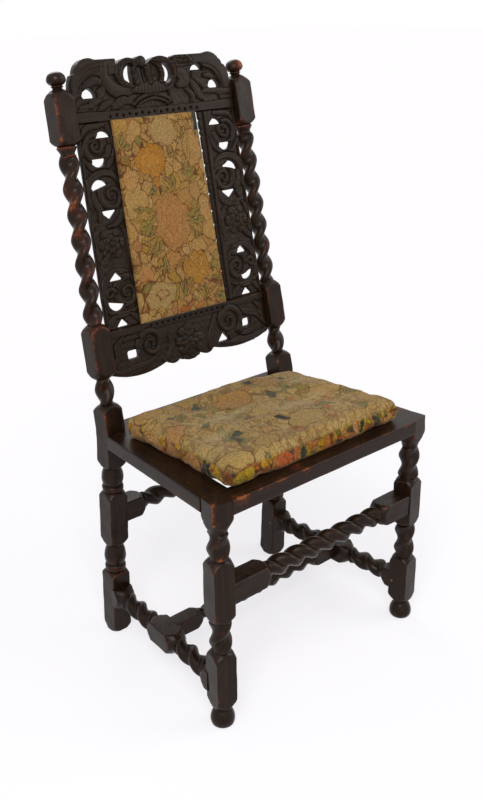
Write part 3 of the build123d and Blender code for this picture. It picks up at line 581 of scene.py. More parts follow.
# %% Front legs
FRONT_LINE = -223.916          # the front legs' axes, in the chair's frame
SEAT_HEIGHT = 450.0
FRONT_HALF, REAR_HALF, SEAT_DEPTH = 240.9, 216.4, 336.7
LEG_TURN = 8.8                 # degrees that each front leg is turned out
SQUARE = 40                    # the turner's stock
FOOT_TOP, MIDDLE_FOOT, TOP_FOOT = 39, 217.5, 390


def at(x, y, z):
    return Matrix.Translation((x, y, z))


# Heights of the low block's top and the middle block's top, phases of the two twists, foot's radius
LEGS = {-1: ("left", 157, 340, 69, 65, 21.8), 1: ("right", 145, 322, 43, 94, 22.4)}
# Where a leg is worn most: a place in its own frame, how far the wear reaches, and how strong it is
LEG_WEAR = {
    -1: [
        ((22, -14, 182), 12, 0.46), ((16, -19, 192), 8, 0.35), ((20, -10, 168), 9, 0.3),
        ((-22, -18, 366), 12, 0.6), ((-14, -20, 375), 11, 0.55), ((-20, -20, 398), 9, 0.50),
        ((-20, -20, 412), 7, 0.30), ((-20, -20, 426), 8, 0.42), ((-20, -20, 446), 11, 0.50),
        ((-20, -20, 330), 9, 0.2), ((-20, -20, 222), 9, 0.30), ((2, -22, 444), 12, 0.2),
        ((-20, -18, 300), 8, 0.2), ((-20, -20, 64), 12, 0.2), ((-8, -20, 346), 9, 0.5),
    ],
    1: [
        ((-20, -20, 441), 9, 0.30), ((-20, -20, 310), 7, 0.30),
        ((20, -20, 130), 8, 0.25), ((-20, -20, 100), 12, 0.15),
    ],
}
for side, (hand, low_top, mid_top, low_phase, high_phase, wide) in LEGS.items():
    place = at(side * FRONT_HALF, FRONT_LINE, 0) @ Matrix.Rotation(math.radians(side * LEG_TURN), 4, "Z")
    foot = lathed((15.6, 0), (19.4, 2.6), (wide - 0.4, 8.5), (wide, 14.5), (wide - 1.0, 20.5), (18.4, 27.5),
                  (15.2, 32.5), (14.2, 34.6), (15.8, 36.2), (16.6, 38.0), (16.4, FOOT_TOP))
    rings = stacked(
        place,
        foot,
        squared(FOOT_TOP, low_top, SQUARE, 16.4, 15.5, low_run=20),
        twisted(low_top, MIDDLE_FOOT, SQUARE, 28, 80, low_phase, run_in=3.5),
        squared(MIDDLE_FOOT, mid_top, SQUARE, 15.5, 15.0, low_run=17),
        twisted(mid_top, TOP_FOOT, SQUARE, 28, 80, high_phase, run_in=4.5),
        squared(TOP_FOOT, SEAT_HEIGHT, SQUARE, 15.5, None, low_run=31),
        seed=11 + side,
    )
    leg = piece("turned_leg_" + hand, *skin(rings), walnut["z"])
    rub(leg.data, 4.0, spots=placed(place, LEG_WEAR[side]))
    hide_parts("front_leg_" + hand)
    print(leg.name, len(leg.data.polygons), "faces")


# %% [markdown]
# ## Rear posts
# One plank makes the whole post: its foot stands behind the seat, and above the seat it leans
# back. The lower length has plain balusters, the upper one twists, with a ball finial on top.

# %% Turnings of the posts
FOOT_SET_BACK = 27.7           # how far a rear foot stands behind its seat joint
RAKE, TAPER = math.radians(10.76), math.radians(1.46)
REAR_LEAN = math.atan2(FOOT_SET_BACK, SEAT_HEIGHT)
BACK = at(0, FRONT_LINE + SEAT_DEPTH, SEAT_HEIGHT) @ Matrix.Rotation(-RAKE, 4, "X")
# Turnings as (radius, share of the height): a flat ring with a barrel over it, and a cup
BALUSTER = ((15.5, 0.0), (19.4, 0.04), (20.3, 0.08), (20.3, 0.19), (19.2, 0.225), (17.4, 0.255), (19.6, 0.36),
            (21.1, 0.50), (21.2, 0.60), (19.8, 0.78), (17.0, 0.93), (15.5, 1.0))
CUP = ((15.5, 0.0), (13.4, 0.14), (12.8, 0.28), (14.2, 0.46), (16.6, 0.68), (17.9, 0.84), (17.4, 0.94),
       (15.5, 1.0))
FINIAL = lathed((15.5, 605), (12.0, 607), (8.8, 609), (8.8, 610.5), (10.9, 612), (10.9, 613.2), (9.0, 614.2),
                (13.0, 616.5), (16.4, 620.5), (17.0, 624), (15.6, 629.5), (12.0, 634), (6.0, 636.8))


def down(height):
    """A height below the seat, measured along the leaning post from the seat's top."""
    return (height - SEAT_HEIGHT) / math.cos(REAR_LEAN)


def turning(bottom, top, shape):
    """A turning that is drawn over a height of 1, stretched between two heights."""
    return lathed(*((r, bottom + (top - bottom) * share) for r, share in shape))


print("the back leans", round(math.degrees(RAKE), 2), "degrees, the finial has", len(FINIAL), "rings")


# %% [markdown]
# ### Two posts
# The posts were meant to be alike, but each twist has its own pitch and start. The same steps
# build both, with a row of numbers for each.

# %% Rear posts
# Top of the tall twist with its pitch and phase, phase of the short twist, and top of the knee
POSTS = {-1: ("left", 496, 88.5, 75, 38, 51), 1: ("right", 496, 85.4, 3, 38, 47)}
# Where a post is worn most, as places in its own frame with reach and amount; the broad spots down the left
# front of the left post's tall twist are partly wear and partly a painted highlight that reddens the side
# facing the key lamp
POST_WEAR_AND_HIGHLIGHT = {
    -1: [((-12, -16, v), 24, 0.30) for v in (215, 255, 295, 335, 375, 415, 455, 490)] + [
        ((-20, -20, 125), 10, 0.35), ((-18, -20, 150), 12, 0.25), ((-20, -20, 560), 22, 0.16),
        ((-20, -20, 524), 9, 0.28), ((-20, -20, 35), 9, 0.40), ((-20, -20, 180), 9, 0.2),
        ((-6, -14, 626), 10, 0.35), ((-4, -17, 500), 9, 0.3),
    ],
    1: [((16, -12, v), 20, 0.12) for v in (235, 280, 320, 360, 405, 450)] + [
        ((20, -20, 112), 11, 0.45), ((4, -20, 107), 9, 0.42), ((16, -16, 92), 7, 0.45),
        ((20, -20, 136), 12, 0.30), ((20, -14, 548), 13, 0.32), ((20, -20, 575), 14, 0.22),
        ((-20, -20, 30), 9, 0.30), ((6, -14, 628), 9, 0.55), ((-4, -18, 240), 9, 0.25),
        ((-4, -18, 270), 9, 0.2), ((14, -14, 478), 8, 0.2),
    ],
}
for side, (hand, tall_top, pitch, tall_phase, short_phase, knee_top) in POSTS.items():
    seat_joint = at(side * REAR_HALF, FRONT_LINE + SEAT_DEPTH, SEAT_HEIGHT)
    lower_place = seat_joint @ Matrix.Rotation(REAR_LEAN, 4, "X")
    upper_place = BACK @ at(side * REAR_HALF, 0, 0) @ Matrix.Rotation(-side * TAPER, 4, "Y")
    lower = stacked(
        lower_place,
        squared(down(0), down(142), SQUARE, 21.0, 15.5, low_run=17, high_run=12),
        turning(down(142), down(202), BALUSTER),
        squared(down(202), down(324), SQUARE, 15.5, 15.5),
        turning(down(324), down(374), BALUSTER),
        squared(down(374), -6, SQUARE, 15.5, None, low_run=15),
        seed=21 + side,
    )
    lower[0][:, 2] = 0.0
    upper = stacked(
        upper_place,
        squared(6, knee_top, SQUARE, None, 15.5, high_run=14),
        twisted(knee_top, 100, 36, 23, 85, short_phase, run_in=4),
        squared(100, 199, SQUARE, 15.5, 15.5),
        twisted(199, tall_top, 36, 20, pitch, tall_phase, power=2.3),
        turning(tall_top, 513, CUP),
        squared(513, 605, SQUARE, 15.5, 15.0, low_run=14),
        FINIAL,
        seed=31 + side,
    )
    knee = [(0.5 * (lower[-1] + upper[0]))]
    post = piece("turned_post_" + hand, *skin(lower + knee + upper), walnut["z"])
    rub(post.data, 6.0, spots=placed(upper_place, POST_WEAR_AND_HIGHLIGHT[side]))
    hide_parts("rear_post_" + hand)
    print(post.name, len(post.data.polygons), "faces")


# %% [markdown]
# ## Stretchers
# The H of the floor stretchers and the two higher bars keep the legs from spreading. Bars run
# from axis to axis on the drawing; here each starts just inside the leg that it enters, so no
# line of light shows at the shoulder.

# %% Stretchers
def bar_place(start, end):
    """Z along the bar and X upwards."""
    start, end = Vector(start), Vector(end)
    z = (end - start).normalized()
    x = (Vector((0, 0, 1)) - z * z.z).normalized()
    y = z.cross(x)
    return Matrix(((x.x, y.x, z.x, start.x), (x.y, y.y, z.y, start.y), (x.z, y.z, z.z, start.z),
                   (0, 0, 0, 1)))


def front_axis(side, height):
    return Vector((side * FRONT_HALF, FRONT_LINE, height))


def rear_axis(side, height):
    return Vector((side * REAR_HALF, FRONT_LINE + SEAT_DEPTH + FOOT_SET_BACK * (1 - height / SEAT_HEIGHT),
                   height))


def stretcher(name, node, start, end, squares, material, seed, size=41.0, waist=23.0, run=18.0, spots=()):
    """Squares as (from, to) along the axis, twists between them."""
    parts = []
    for number, (low, high) in enumerate(squares):
        low_neck = None if number == 0 else 15.0
        high_neck = None if number == len(squares) - 1 else 15.0
        parts.append(squared(low, high, size, low_neck, high_neck, run, run))
        if number < len(squares) - 1:
            following = squares[number + 1][0]
            parts.append(twisted(high, following, min(38.0, size), waist, 80, neck=15.0, power=1.5))
    place = bar_place(start, end)
    made = piece(name, *skin(stacked(place, *parts, seed=seed)), material)
    rub(made.data, spots=placed(place, spots))
    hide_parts(node)
    print(name, len(made.data.polygons), "faces")


# %% [markdown]
# ### The five bars
# Each bar is given by the two axes that it joins and by where its plain squares lie. The cross
# stretcher is lighter, and is let into the side ones with its top level with theirs.

# %% The five bars
INTO = 16.0                    # a bar starts this far from the leg's axis, inside its face
MEDIAL_RAISE = 4.5             # lifts the lighter cross stretcher until all tops are level
FRONT_BAR, REAR_BAR, FLOOR_BARS = 270, 273, 87      # heights of the axes
CROSSING = 176                 # depth behind the front legs at which the cross stretcher lies
length = 2 * FRONT_HALF
stretcher("twisted_front_stretcher", "front_stretcher", front_axis(-1, FRONT_BAR), front_axis(1, FRONT_BAR),
          [(INTO, 104), (length - 91, length - INTO)], walnut["x"], 41, waist=22.0,
          spots=[((18, 20, length - 84), 6, 0.6), ((20, 12, length - 64), 5, 0.6),
                 ((-16, 20, length - 70), 5, 0.4), ((19, 0, 180), 14, 0.15), ((19, 0, 260), 16, 0.15)])
length = 2 * REAR_HALF
stretcher("twisted_rear_stretcher", "rear_stretcher", rear_axis(-1, REAR_BAR), rear_axis(1, REAR_BAR),
          [(INTO, 66), (length - 66, length - INTO)], walnut["x"], 42)
crossing = {}
for side, hand in ((-1, "left"), (1, "right")):
    start, end = front_axis(side, FLOOR_BARS), rear_axis(side, FLOOR_BARS)
    length = (end - start).length
    middle = length * CROSSING / (end - start).y
    crossing[side] = start + (end - start) * CROSSING / (end - start).y + Vector((0, 0, MEDIAL_RAISE))
    stretcher("twisted_side_stretcher_" + hand, "side_stretcher_" + hand, start, end,
              [(INTO, 48), (middle - 46.5, middle + 46.5), (length - 48, length - INTO)], walnut["y"],
              44 + side, run=24.0,
              spots=[((12, 20 * side, middle - 38), 7, 0.6), ((20, 0, middle + 20), 12, 0.2)])
length = (crossing[1] - crossing[-1]).length
stretcher("twisted_cross_stretcher", "medial_stretcher", crossing[-1], crossing[1],
          [(15, 77.5), (length - 77.5, length - 15)], walnut["x"], 47, size=32.0, waist=18.0)


# %% [markdown]
# ## Seat frame
# Four flat rails, 27 mm thick, make the open frame that the squab bridges. Their arrises are the
# most rubbed of the whole chair. Each rail is a bar with four section corners at each end, so
# its ends can follow the turned legs and the leaning posts.

# %% Seat rails
def rail(name, node, start, end, material, seed, arris=1.4, spots=()):
    """start and end are four corners each, in the same order round the section."""
    start, end = np.array(start, float), np.array(end, float)
    size = (np.linalg.norm(start[1] - start[0]), np.linalg.norm(start[3] - start[0]))
    share = []
    for corner, (a, b) in enumerate(((0, 0), (1, 0), (1, 1), (0, 1))):
        for angle in (0, 30, 60, 90):
            theta = math.radians(180 + corner * 90 + angle)
            x = arris if a == 0 else size[0] - arris
            y = arris if b == 0 else size[1] - arris
            share.append(((x + arris * math.cos(theta)) / size[0], (y + arris * math.sin(theta)) / size[1]))
        if corner % 2 == 0:
            share += [(s, 0.0 if corner == 0 else 1.0)
                      for s in ((0.12, 0.5, 0.88) if corner == 0 else (0.88, 0.5, 0.12))]
        else:
            share += [(1.0 if corner == 1 else 0.0, s) for s in ((0.2, 0.8) if corner == 1 else (0.8, 0.2))]
    share = np.array(share)
    length = np.linalg.norm(end[0] - start[0])
    rings = []
    for t in np.linspace(-2.5 / length, 1 + 2.5 / length, max(4, int(length / 8))):
        corners = start * (1 - t) + end * t
        a, b = share[:, :1], share[:, 1:]
        ring = (corners[0] * (1 - a) * (1 - b) + corners[1] * a * (1 - b) + corners[2] * a * b
                + corners[3] * (1 - a) * b)
        middle = ring.mean(axis=0)
        ring = middle + (ring - middle) * (1.004 + uneven(ring, 60.0, 0.006, seed))[:, None]
        rings.append(ring)
    made = piece(name, *skin(rings), material)
    rub(made.data, spots=spots)
    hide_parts(node)
    print(name, len(made.data.polygons), "faces")


# %% [markdown]
# ### Front rail
# The faces of the two front legs stand at a slant to it, so its ends are cut to that slant. Its
# top arris has been rubbed by knees and cloths, in some places more than in others.

# %% Front rail
RAIL_THICK = 27
low, high = SEAT_HEIGHT - RAIL_THICK, SEAT_HEIGHT
slant = math.tan(math.radians(LEG_TURN))
inner = FRONT_HALF - SQUARE / 2 / math.cos(math.radians(LEG_TURN))
front, back = -23.0, 18.0


def front_end(side):
    """Section corners of the front rail where it meets a leg."""
    x_front, x_back = side * (inner - front * slant), side * (inner - back * slant)
    y_front, y_back = FRONT_LINE + front, FRONT_LINE + back
    return [(x_front, y_front, low), (x_back, y_back, low), (x_back, y_back, high),
            (x_front, y_front, high)]


TOP_ARRIS_WEAR = ((-214, 10, 0.45), (-200, 9, 0.4), (-186, 12, 0.32), (-160, 16, 0.36), (-120, 16, 0.28),
        (-62, 16, 0.25), (-20, 12, 0.1), (30, 14, 0.25), (92, 14, 0.2), (150, 16, 0.3),
        (200, 12, 0.2))
TOP_FACE_WEAR = ((-76, 0.34), (-62, 0.40), (-48, 0.36), (-34, 0.25), (22, 0.22), (118, 0.25))
wear = [((x, FRONT_LINE + front, high), reach, amount) for x, reach, amount in TOP_ARRIS_WEAR]
wear += [((x, FRONT_LINE - 6, high), 8, amount) for x, amount in TOP_FACE_WEAR]
rail("worn_front_rail", "seat_front_rail", front_end(-1), front_end(1), walnut["x"], 51, spots=wear)
print("front rail from", front_end(-1)[0], "to", front_end(1)[0])


# %% [markdown]
# ### Side rails and back rail
# The seat narrows to the back. The side rails run from the front legs to the posts, and the back
# rail closes the frame between the posts.

# %% Side rails and back rail
def side_x(side, depth, inward):
    """Edge of a side rail at a depth behind the front legs."""
    out_front, out_rear = FRONT_HALF + 20, REAR_HALF + 19
    return side * (out_front + (out_rear - out_front) * depth / SEAT_DEPTH - inward)


def side_end(side, depths):
    """Corners (outer low, inner low, inner high, outer high) at (outer, inner) depths low and high."""
    (outer_low, inner_low), (outer_high, inner_high) = depths
    return [
        (side_x(side, outer_low, 0), FRONT_LINE + outer_low, low),
        (side_x(side, inner_low, 56), FRONT_LINE + inner_low, low),
        (side_x(side, inner_high, 56), FRONT_LINE + inner_high, high),
        (side_x(side, outer_high, 0), FRONT_LINE + outer_high, high),
    ]


AT_LEG = (24.1, 15.4)
AT_POST_LOW, AT_POST_HIGH = (318.3, 318.3), (316.7, 316.7)
for side, hand in ((-1, "left"), (1, "right")):
    wear = [((side * 255, FRONT_LINE + depth, high), 20, 0.22) for depth in (40, 75, 150)]
    wear += [((side * 236, FRONT_LINE + depth, high), 24, 0.25) for depth in (60, 260, 300)]
    rail("worn_side_rail_" + hand, "seat_side_rail_" + hand, side_end(side, (AT_LEG, AT_LEG)),
         side_end(side, (AT_POST_LOW, AT_POST_HIGH)), walnut["y"], 53 + side, spots=wear)
rear_front, rear_back = FRONT_LINE + SEAT_DEPTH - 18, FRONT_LINE + SEAT_DEPTH + 25
left_end, right_end = (
    [(x, rear_front, low), (x, rear_back, low), (x, rear_back, high), (x, rear_front, high)]
    for x in (-196.4, 196.4))
rail("plain_back_rail", "seat_back_rail", left_end, right_end, walnut["x"], 55)


# %% [markdown]
# ## Carved boards
# The crest, the two stiles and the lower rail are flat boards, sawn to an outline, pierced with
# a fret saw and carved from the front with gouges. A carved board could be sculpted or made from
# many solids, but its real maker thought of it as heights over a drawing, and so does this cell:
# a net of points 1.5 mm apart fills the outline, and every point gets its height.

# %% Drawing an outline
def bow(a, b, rise, steps=9):
    """Points from a towards b on an arc that rises to the left of the way; b is left out."""
    a, b = np.array(a, float), np.array(b, float)
    if abs(rise) < 1e-6:
        count = max(1, int(np.linalg.norm(b - a) / 3))
        return [tuple(a + (b - a) * t) for t in np.arange(count) / count]
    half = np.linalg.norm(b - a) / 2
    left = np.array((a[1] - b[1], b[0] - a[0])) / (2 * half)
    centre = (a + b) / 2 + left * (rise - (half ** 2 + rise ** 2) / (2 * rise))
    total = -4 * math.atan(rise / half)
    points = []
    for t in np.arange(steps) / steps:
        c, s = math.cos(total * t), math.sin(total * t)
        x, y = a - centre
        points.append((centre[0] + c * x - s * y, centre[1] + s * x + c * y))
    return points


def drawn(start, *stretches):
    """A closed outline from start through (across, up, rise)."""
    points = []
    here = start
    for x, y, rise in stretches + ((*start, 0),):
        if (x, y) != here:
            points += bow(here, (x, y), rise)
        here = (x, y)
    return np.array(points)


def half_moon(x, y, width, height):
    """A flat edge with an arc over it, or under it where height is negative."""
    base = y - height / 2
    return drawn((x - width / 2, base), (x + width / 2, base, 0), (x - width / 2, base, -height))


def wedge(x, y, width, height):
    """A triangle with soft corners."""
    base = y - height / 2
    corners = np.array(((x - width / 2, base), (x + width / 2, base), (x, base + height)))
    middle = corners.mean(axis=0)
    points = []
    for k in range(3):
        before, here, after = corners[k - 1], corners[k], corners[(k + 1) % 3]
        points.append(here + (before - here) / np.linalg.norm(before - here) * 3.5)
        points.append(here + (middle - here) * 0.12)
        points.append(here + (after - here) / np.linalg.norm(after - here) * 3.5)
    return np.array(points)


def crescent(x, y, width, height, hollow):
    """An upright arc, closed by a flatter one."""
    low = (x, y - height / 2)
    return drawn(low, (x, y + height / 2, width), (*low, -hollow * width))


def turned_shape(points, degrees_, x, y, shift=(0, 0)):
    """points moved by shift, turned about the origin and set down at x, y."""
    angle = math.radians(degrees_)
    p = points + np.array(shift)
    c, s = math.cos(angle), math.sin(angle)
    return np.column_stack((x + c * p[:, 0] - s * p[:, 1], y + s * p[:, 0] + c * p[:, 1]))


def sided(points, side):
    """points as they are drawn for the right (1), or mirrored for the left (-1)."""
    return np.asarray(points, float) * (side, 1)


def ring_hole(x, y, diameter, sides=9):
    """A hole for the strands of the old cane work."""
    angles = np.arange(sides) * 2 * math.pi / sides
    return np.column_stack((x + diameter / 2 * np.cos(angles), y + diameter / 2 * np.sin(angles)))


print("a half moon has", len(half_moon(0, 0, 30, 15)), "points")


# %% [markdown]
# ### The carver's strokes
# Nearly all of this carving is one motif: a ribbon that swells and tapers along a curve, rounded
# across, with gouge cuts along it. Bent into a hook it is a scroll, with slanting cuts a leaf.
# A carver cuts from the front plane down; here it is easier to lay strokes from the ground up,
# each over the last. A rosette is a ring of petals about a boss.

# %% Carving strokes
def smooth_line(spine, steps=9):
    """A smooth line through (across, up, half width) points."""
    ends = with_ends(spine)
    line = np.array([curve_point(*ends[k:k + 4], t) for k in range(len(spine) - 1)
            for t in np.linspace(0, 1, steps, endpoint=k == len(spine) - 2)])
    line[:, 2] = np.maximum(line[:, 2], 0.6)
    return line


def volute(x, y, first, last, start, end, wide, narrow):
    """Spine of a spiral about x, y: radius first to last, from start to end degrees."""
    share = np.linspace(0, 1, max(8, int(abs(end - start) / 22)))
    radius = last + (first - last) * (1 - share) ** 1.15
    angle = np.radians(start + (end - start) * share)
    return np.column_stack((x + radius * np.cos(angle), y + radius * np.sin(angle),
            wide + (narrow - wide) * share))


def off_line(points, a, b):
    """From a to b: how far along (0 to 1) each point's nearest place lies, and the way from there."""
    way = b - a
    share = np.clip(((points - a) @ way) / max(way @ way, 1e-6), 0, 1)
    return share, points - a - share[:, None] * way


class Carving:
    """Heights in mm over the front plane of a board, at points across and up."""

    def __init__(self, points, ground, mirror=1):
        self.at = points * (mirror, 1)
        self.height = np.full(len(points), float(ground))
        self.height += uneven(np.column_stack((self.at, np.zeros(len(points)))), 9.0, 0.25, 7)

    def close_to(self, line, margin):
        """Numbers of the points in the box round a line, made larger by margin."""
        low, high = line.min(axis=0) - margin, line.max(axis=0) + margin
        return np.flatnonzero(((self.at > low) & (self.at < high)).all(axis=1))

    def stroke(self, spine, rise=0.0, fall=2.2, ribs=0, cut=1.1, veins=0, steps=9):
        """A ribbon along a spine, rise mm high and fall mm lower at its edges.

        Ribs are left between gouge cuts that run along it; veins are cuts that slant across a leaf.
        """
        line = smooth_line(spine, steps)
        margin = line[:, 2].max() + 2
        near = self.close_to(line[:, :2], margin)
        if not len(near):
            return
        best, across, along = np.full(len(near), 9.0), np.zeros(len(near)), np.zeros(len(near))
        for k in range(len(line) - 1):
            a, b = line[k, :2], line[k + 1, :2]
            t, off = off_line(self.at[near], a, b)
            side = np.sign((b - a)[0] * off[:, 1] - (b - a)[1] * off[:, 0])
            x = np.hypot(off[:, 0], off[:, 1]) / (line[k, 2] * (1 - t) + line[k + 1, 2] * t)
            better = x < best
            best[better] = x[better]
            across[better] = (side * x)[better]
            along[better] = ((k + t) / (len(line) - 1))[better]
        inside = best < 1
        form = rise - fall * (1 - np.sqrt(np.clip(1 - best ** 2, 0, 1)))
        if ribs:
            form -= cut * (1 - np.abs(np.sin(math.pi * ribs * (across + 1) / 2))) ** 2
        if veins:
            slant = np.abs(np.sin(math.pi * (along * veins - 0.9 * best)))
            form -= cut * (1 - slant) ** 1.5 * np.minimum(1, best * 3)
            form -= cut * np.exp(-(best / 0.14) ** 2)
        height = self.height[near]
        rim = (best >= 1) & (best < 1 + 1.6 / margin)
        height[rim] = np.minimum(height[rim], rise - fall - 1.0)
        height[inside] = form[inside]
        self.height[near] = height

    def gouge(self, *lines, depth=1.0, half=1.1):
        """Cuts along lines of (across, up) points."""
        for line in lines:
            smooth = smooth_line([(x, y, half) for x, y in line])[:, :2]
            near = self.close_to(smooth, 3 * half)
            if len(near):
                off = np.full(len(near), 99.0)
                for a, b in zip(smooth, smooth[1:]):
                    off = np.minimum(off, np.hypot(*off_line(self.at[near], a, b)[1].T))
                self.height[near] -= depth * np.exp(-(off / half) ** 2)

    def scroll(self, *numbers, rise=0.6, fall=1.8):
        """A volute with one rib, which narrows to 2.5 mm each side."""
        self.stroke(volute(*numbers, 2.5), rise, fall, 1)

    def boss(self, x, y, radius, rise, fall=2.0):
        """A round knob."""
        r = np.hypot(self.at[:, 0] - x, self.at[:, 1] - y) / radius
        inside = r < 1
        self.height[inside] = rise - fall * (1 - np.sqrt(1 - r[inside] ** 2))
        rim = (r >= 1) & (r < 1 + 1.5 / radius)
        self.height[rim] = np.minimum(self.height[rim], rise - fall - 1.2)

    def rosette(self, x, y, radius, petals, rise=0.4):
        """A ring of petals, a smaller ring on it, and a boss."""
        for share, turned_by, level in ((1.0, 0.0, 0.0), (0.62, 0.5, 0.9)):
            dx, dy = self.at[:, 0] - x, self.at[:, 1] - y
            r, angle = np.hypot(dx, dy) / (radius * share), np.arctan2(dy, dx)
            lobe = np.abs(np.cos(petals * angle / 2 + turned_by * math.pi))
            edge = 0.74 + 0.26 * lobe ** 0.6
            inside = r < edge
            body = rise + level - 2.6 * (1 - lobe ** 0.5) - 1.8 * (r / edge) ** 4
            body -= 0.8 * np.exp(-((lobe - 1) / 0.02) ** 2)
            rim = (r >= edge) & (r < edge + 1.5 / radius)
            self.height[rim] = np.minimum(self.height[rim], rise + level - 4.2)
            self.height[inside] = body[inside]
        self.boss(x, y, radius * 0.2, rise + 1.4, 1.6)


print("a scroll of one and a half turns has", len(smooth_line(volute(0, 0, 30, 4, 0, 540, 7, 2.5))), "places")


# %% [markdown]
# ### A carved board
# The net has to follow the sawn outline closely, or the edges look torn. A constrained
# triangulation takes the outline's own points first and fills the wood with the net. A plain skin
# lies behind it, and a narrow band of faces closes the edge.

# %% A carved board
BOARD_FACE = -8.0              # front plane of the boards, in the frame of the back


def within(points, loop):
    """Which points lie inside a closed outline."""
    x, y = points[:, 0], points[:, 1]
    inside = np.zeros(len(points), bool)
    for (x0, y0), (x1, y1) in zip(loop, np.roll(loop, -1, axis=0)):
        if y0 != y1:
            crosses = ((y0 > y) != (y1 > y)) & (x < (x1 - x0) * (y - y0) / (y1 - y0) + x0)
            inside ^= crosses
    return inside


def nearest(points, targets):
    """Distance in mm from each point to the nearest target."""
    found = np.empty(len(points))
    for k in range(0, len(points), 4000):
        part = points[k:k + 4000]
        found[k:k + 4000] = np.sqrt(((part[:, None] - targets[None]) ** 2).sum(2).min(1))
    return found


def on_back(points):
    """Points (across, off, up) of the leaning back, in the chair's frame."""
    matrix = np.array(BACK)
    return points @ matrix[:3, :3].T + matrix[:3, 3]


def board(name, node, solids, voids, thickness, carve, material, spacing=1.5, seed=1, mirror=1):
    """A carved and pierced board of the back, from overlapping outlines and openings."""
    solids = [sided(s, mirror) for s in solids]
    voids = [sided(s, mirror) for s in voids]
    edge_points, edges = [], []
    for loop in solids + voids:
        fine = []
        for a, b in zip(loop, np.roll(loop, -1, axis=0)):
            count = max(1, int(round(np.linalg.norm(b - a) / (spacing * 1.3))))
            fine += [a + (b - a) * t for t in np.arange(count) / count]
        first = len(edge_points)
        edge_points += [tuple(p) for p in fine]
        edges += [(first + k, first + (k + 1) % len(fine)) for k in range(len(fine))]
    rim = np.array(edge_points)
    low, high = rim.min(axis=0), rim.max(axis=0)
    rows = np.arange(low[1] + spacing / 2, high[1], spacing * 0.87)
    net = []
    for number, row in enumerate(rows):
        columns = np.arange(low[0] + spacing * (0.5 if number % 2 else 1.0), high[0], spacing)
        net.append(np.column_stack((columns, np.full(len(columns), row))))
    net = np.vstack(net)

    def solid(points):
        inside = np.zeros(len(points), bool)
        for loop in solids:
            inside |= within(points, loop)
        for loop in voids:
            inside &= ~within(points, loop)
        return inside

    net = net[solid(net)]
    net = net[nearest(net, rim) > spacing * 0.6]
    flat = [Vector(p) for p in edge_points] + [Vector(p) for p in net]
    made = delaunay_2d_cdt(flat, edges, [], 0, 1e-5)
    points = np.array([tuple(p) for p in made[0]])
    triangles = np.array([f for f in made[2] if len(f) == 3])
    triangles = triangles[solid(points[triangles].mean(axis=1))]
    used, triangles = np.unique(triangles, return_inverse=True)
    points, triangles = points[used], triangles.reshape(-1, 3)
    directed = np.vstack((triangles[:, :2], triangles[:, 1:], triangles[:, [2, 0]]))
    key = directed[:, 0] * len(points) + directed[:, 1]
    back_key = directed[:, 1] * len(points) + directed[:, 0]
    border = directed[~np.isin(key, back_key)]
    rim_only = np.unique(border)
    carving = Carving(points, -4.5, mirror)
    carve(carving)
    inward = nearest(points, points[rim_only])
    height = carving.height - 1.6 * np.clip(1 - inward / 2.2, 0, 1) ** 2
    count = len(points)
    front = BOARD_FACE - height
    back = np.full(count, thickness + BOARD_FACE) - 1.2 * np.clip(1 - inward / 2.0, 0, 1) ** 2
    back -= np.abs(uneven(np.column_stack((points, np.zeros(count))), 24.0, 0.35, seed))
    middle = 0.5 * (front + back)
    all_points = np.vstack([np.column_stack((points[:, 0], off, points[:, 1]))
            for off in (front, back, middle)])
    faces = triangles.tolist() + (triangles[:, ::-1] + count).tolist()
    for a, b in border:
        faces.append((b, a, a + 2 * count, b + 2 * count))
        faces.append((b + 2 * count, a + 2 * count, a + count, b + count))
    keep = np.concatenate((np.arange(2 * count), rim_only + 2 * count))
    place = np.full(3 * count, -1)
    place[keep] = np.arange(len(keep))
    faces = [tuple(place[i] for i in face) for face in faces]
    shown = piece(name, on_back(all_points[keep]), faces, material, sharp=50)
    rub(shown.data, radius=1.5, passes=2)
    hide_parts(node)
    print(name, len(shown.data.polygons), "faces")


# %% [markdown]
# ## Crest
# Two scrolled leaves flank a coronet: five beaded hoops and an orb over a gouged band. Below
# them an arch of two mouldings is set over the row of holes that once held cane. The crown sits
# 9 mm off the middle, where its carver left it.

# %% Crest rail
def post_inner(up):
    return REAR_HALF - up * math.tan(TAPER) - 20 / math.cos(TAPER)


CROWN = -9.0
FOOT_LINE, SHOULDER_LINE, WING_TOP = 547.0, 598.0, 652.0
crest_solids, crest_voids = [], []
for side in (-1, 1):
    inner_edge = 57.0 + side * CROWN
    outer = post_inner(SHOULDER_LINE) - 3
    end = post_inner(572.0)
    wing = drawn((0, FOOT_LINE), (end, FOOT_LINE, 0), (end, SHOULDER_LINE, 0),
                 (outer, SHOULDER_LINE + 3, 0),
                 (outer - 7, SHOULDER_LINE + 31, -2), (outer - 13, SHOULDER_LINE + 33, 0),
                 (outer - 56, WING_TOP, -12), (inner_edge + (14 if side < 0 else 6), WING_TOP, 0),
                 (inner_edge + (11 if side < 0 else 0), WING_TOP - 3, 0),
                 (inner_edge + (9 if side < 0 else -2), WING_TOP - 12, 3), (0, WING_TOP - 14, 0))
    crest_solids.append(sided(wing, side))
    crest_voids.append(sided(half_moon(142, SHOULDER_LINE - 1, 30, 17), side))
    crest_voids.append(crescent(CROWN + side * 34, SHOULDER_LINE + 24, -side * 20, 36, 0.1))
angles = np.radians(np.arange(0, 360, 9))
for x, y, wide, tall in ((-53, 629, 27, 23), (18, 626, 33, 26), (-24, 643.5, 11, 10.5)):
    crest_solids.append(np.column_stack((x + wide * np.cos(angles), y + tall * np.sin(angles))))
crest_voids.append(half_moon(105, WING_TOP - 23, 32, 11))
for k in range(15):
    crest_voids.append(ring_hole(CROWN - 98 + 14.0 * k, 554.5 + (1.2 if k % 2 else -0.8), 4.4))


print("crest:", len(crest_solids), "outlines and", len(crest_voids), "openings")


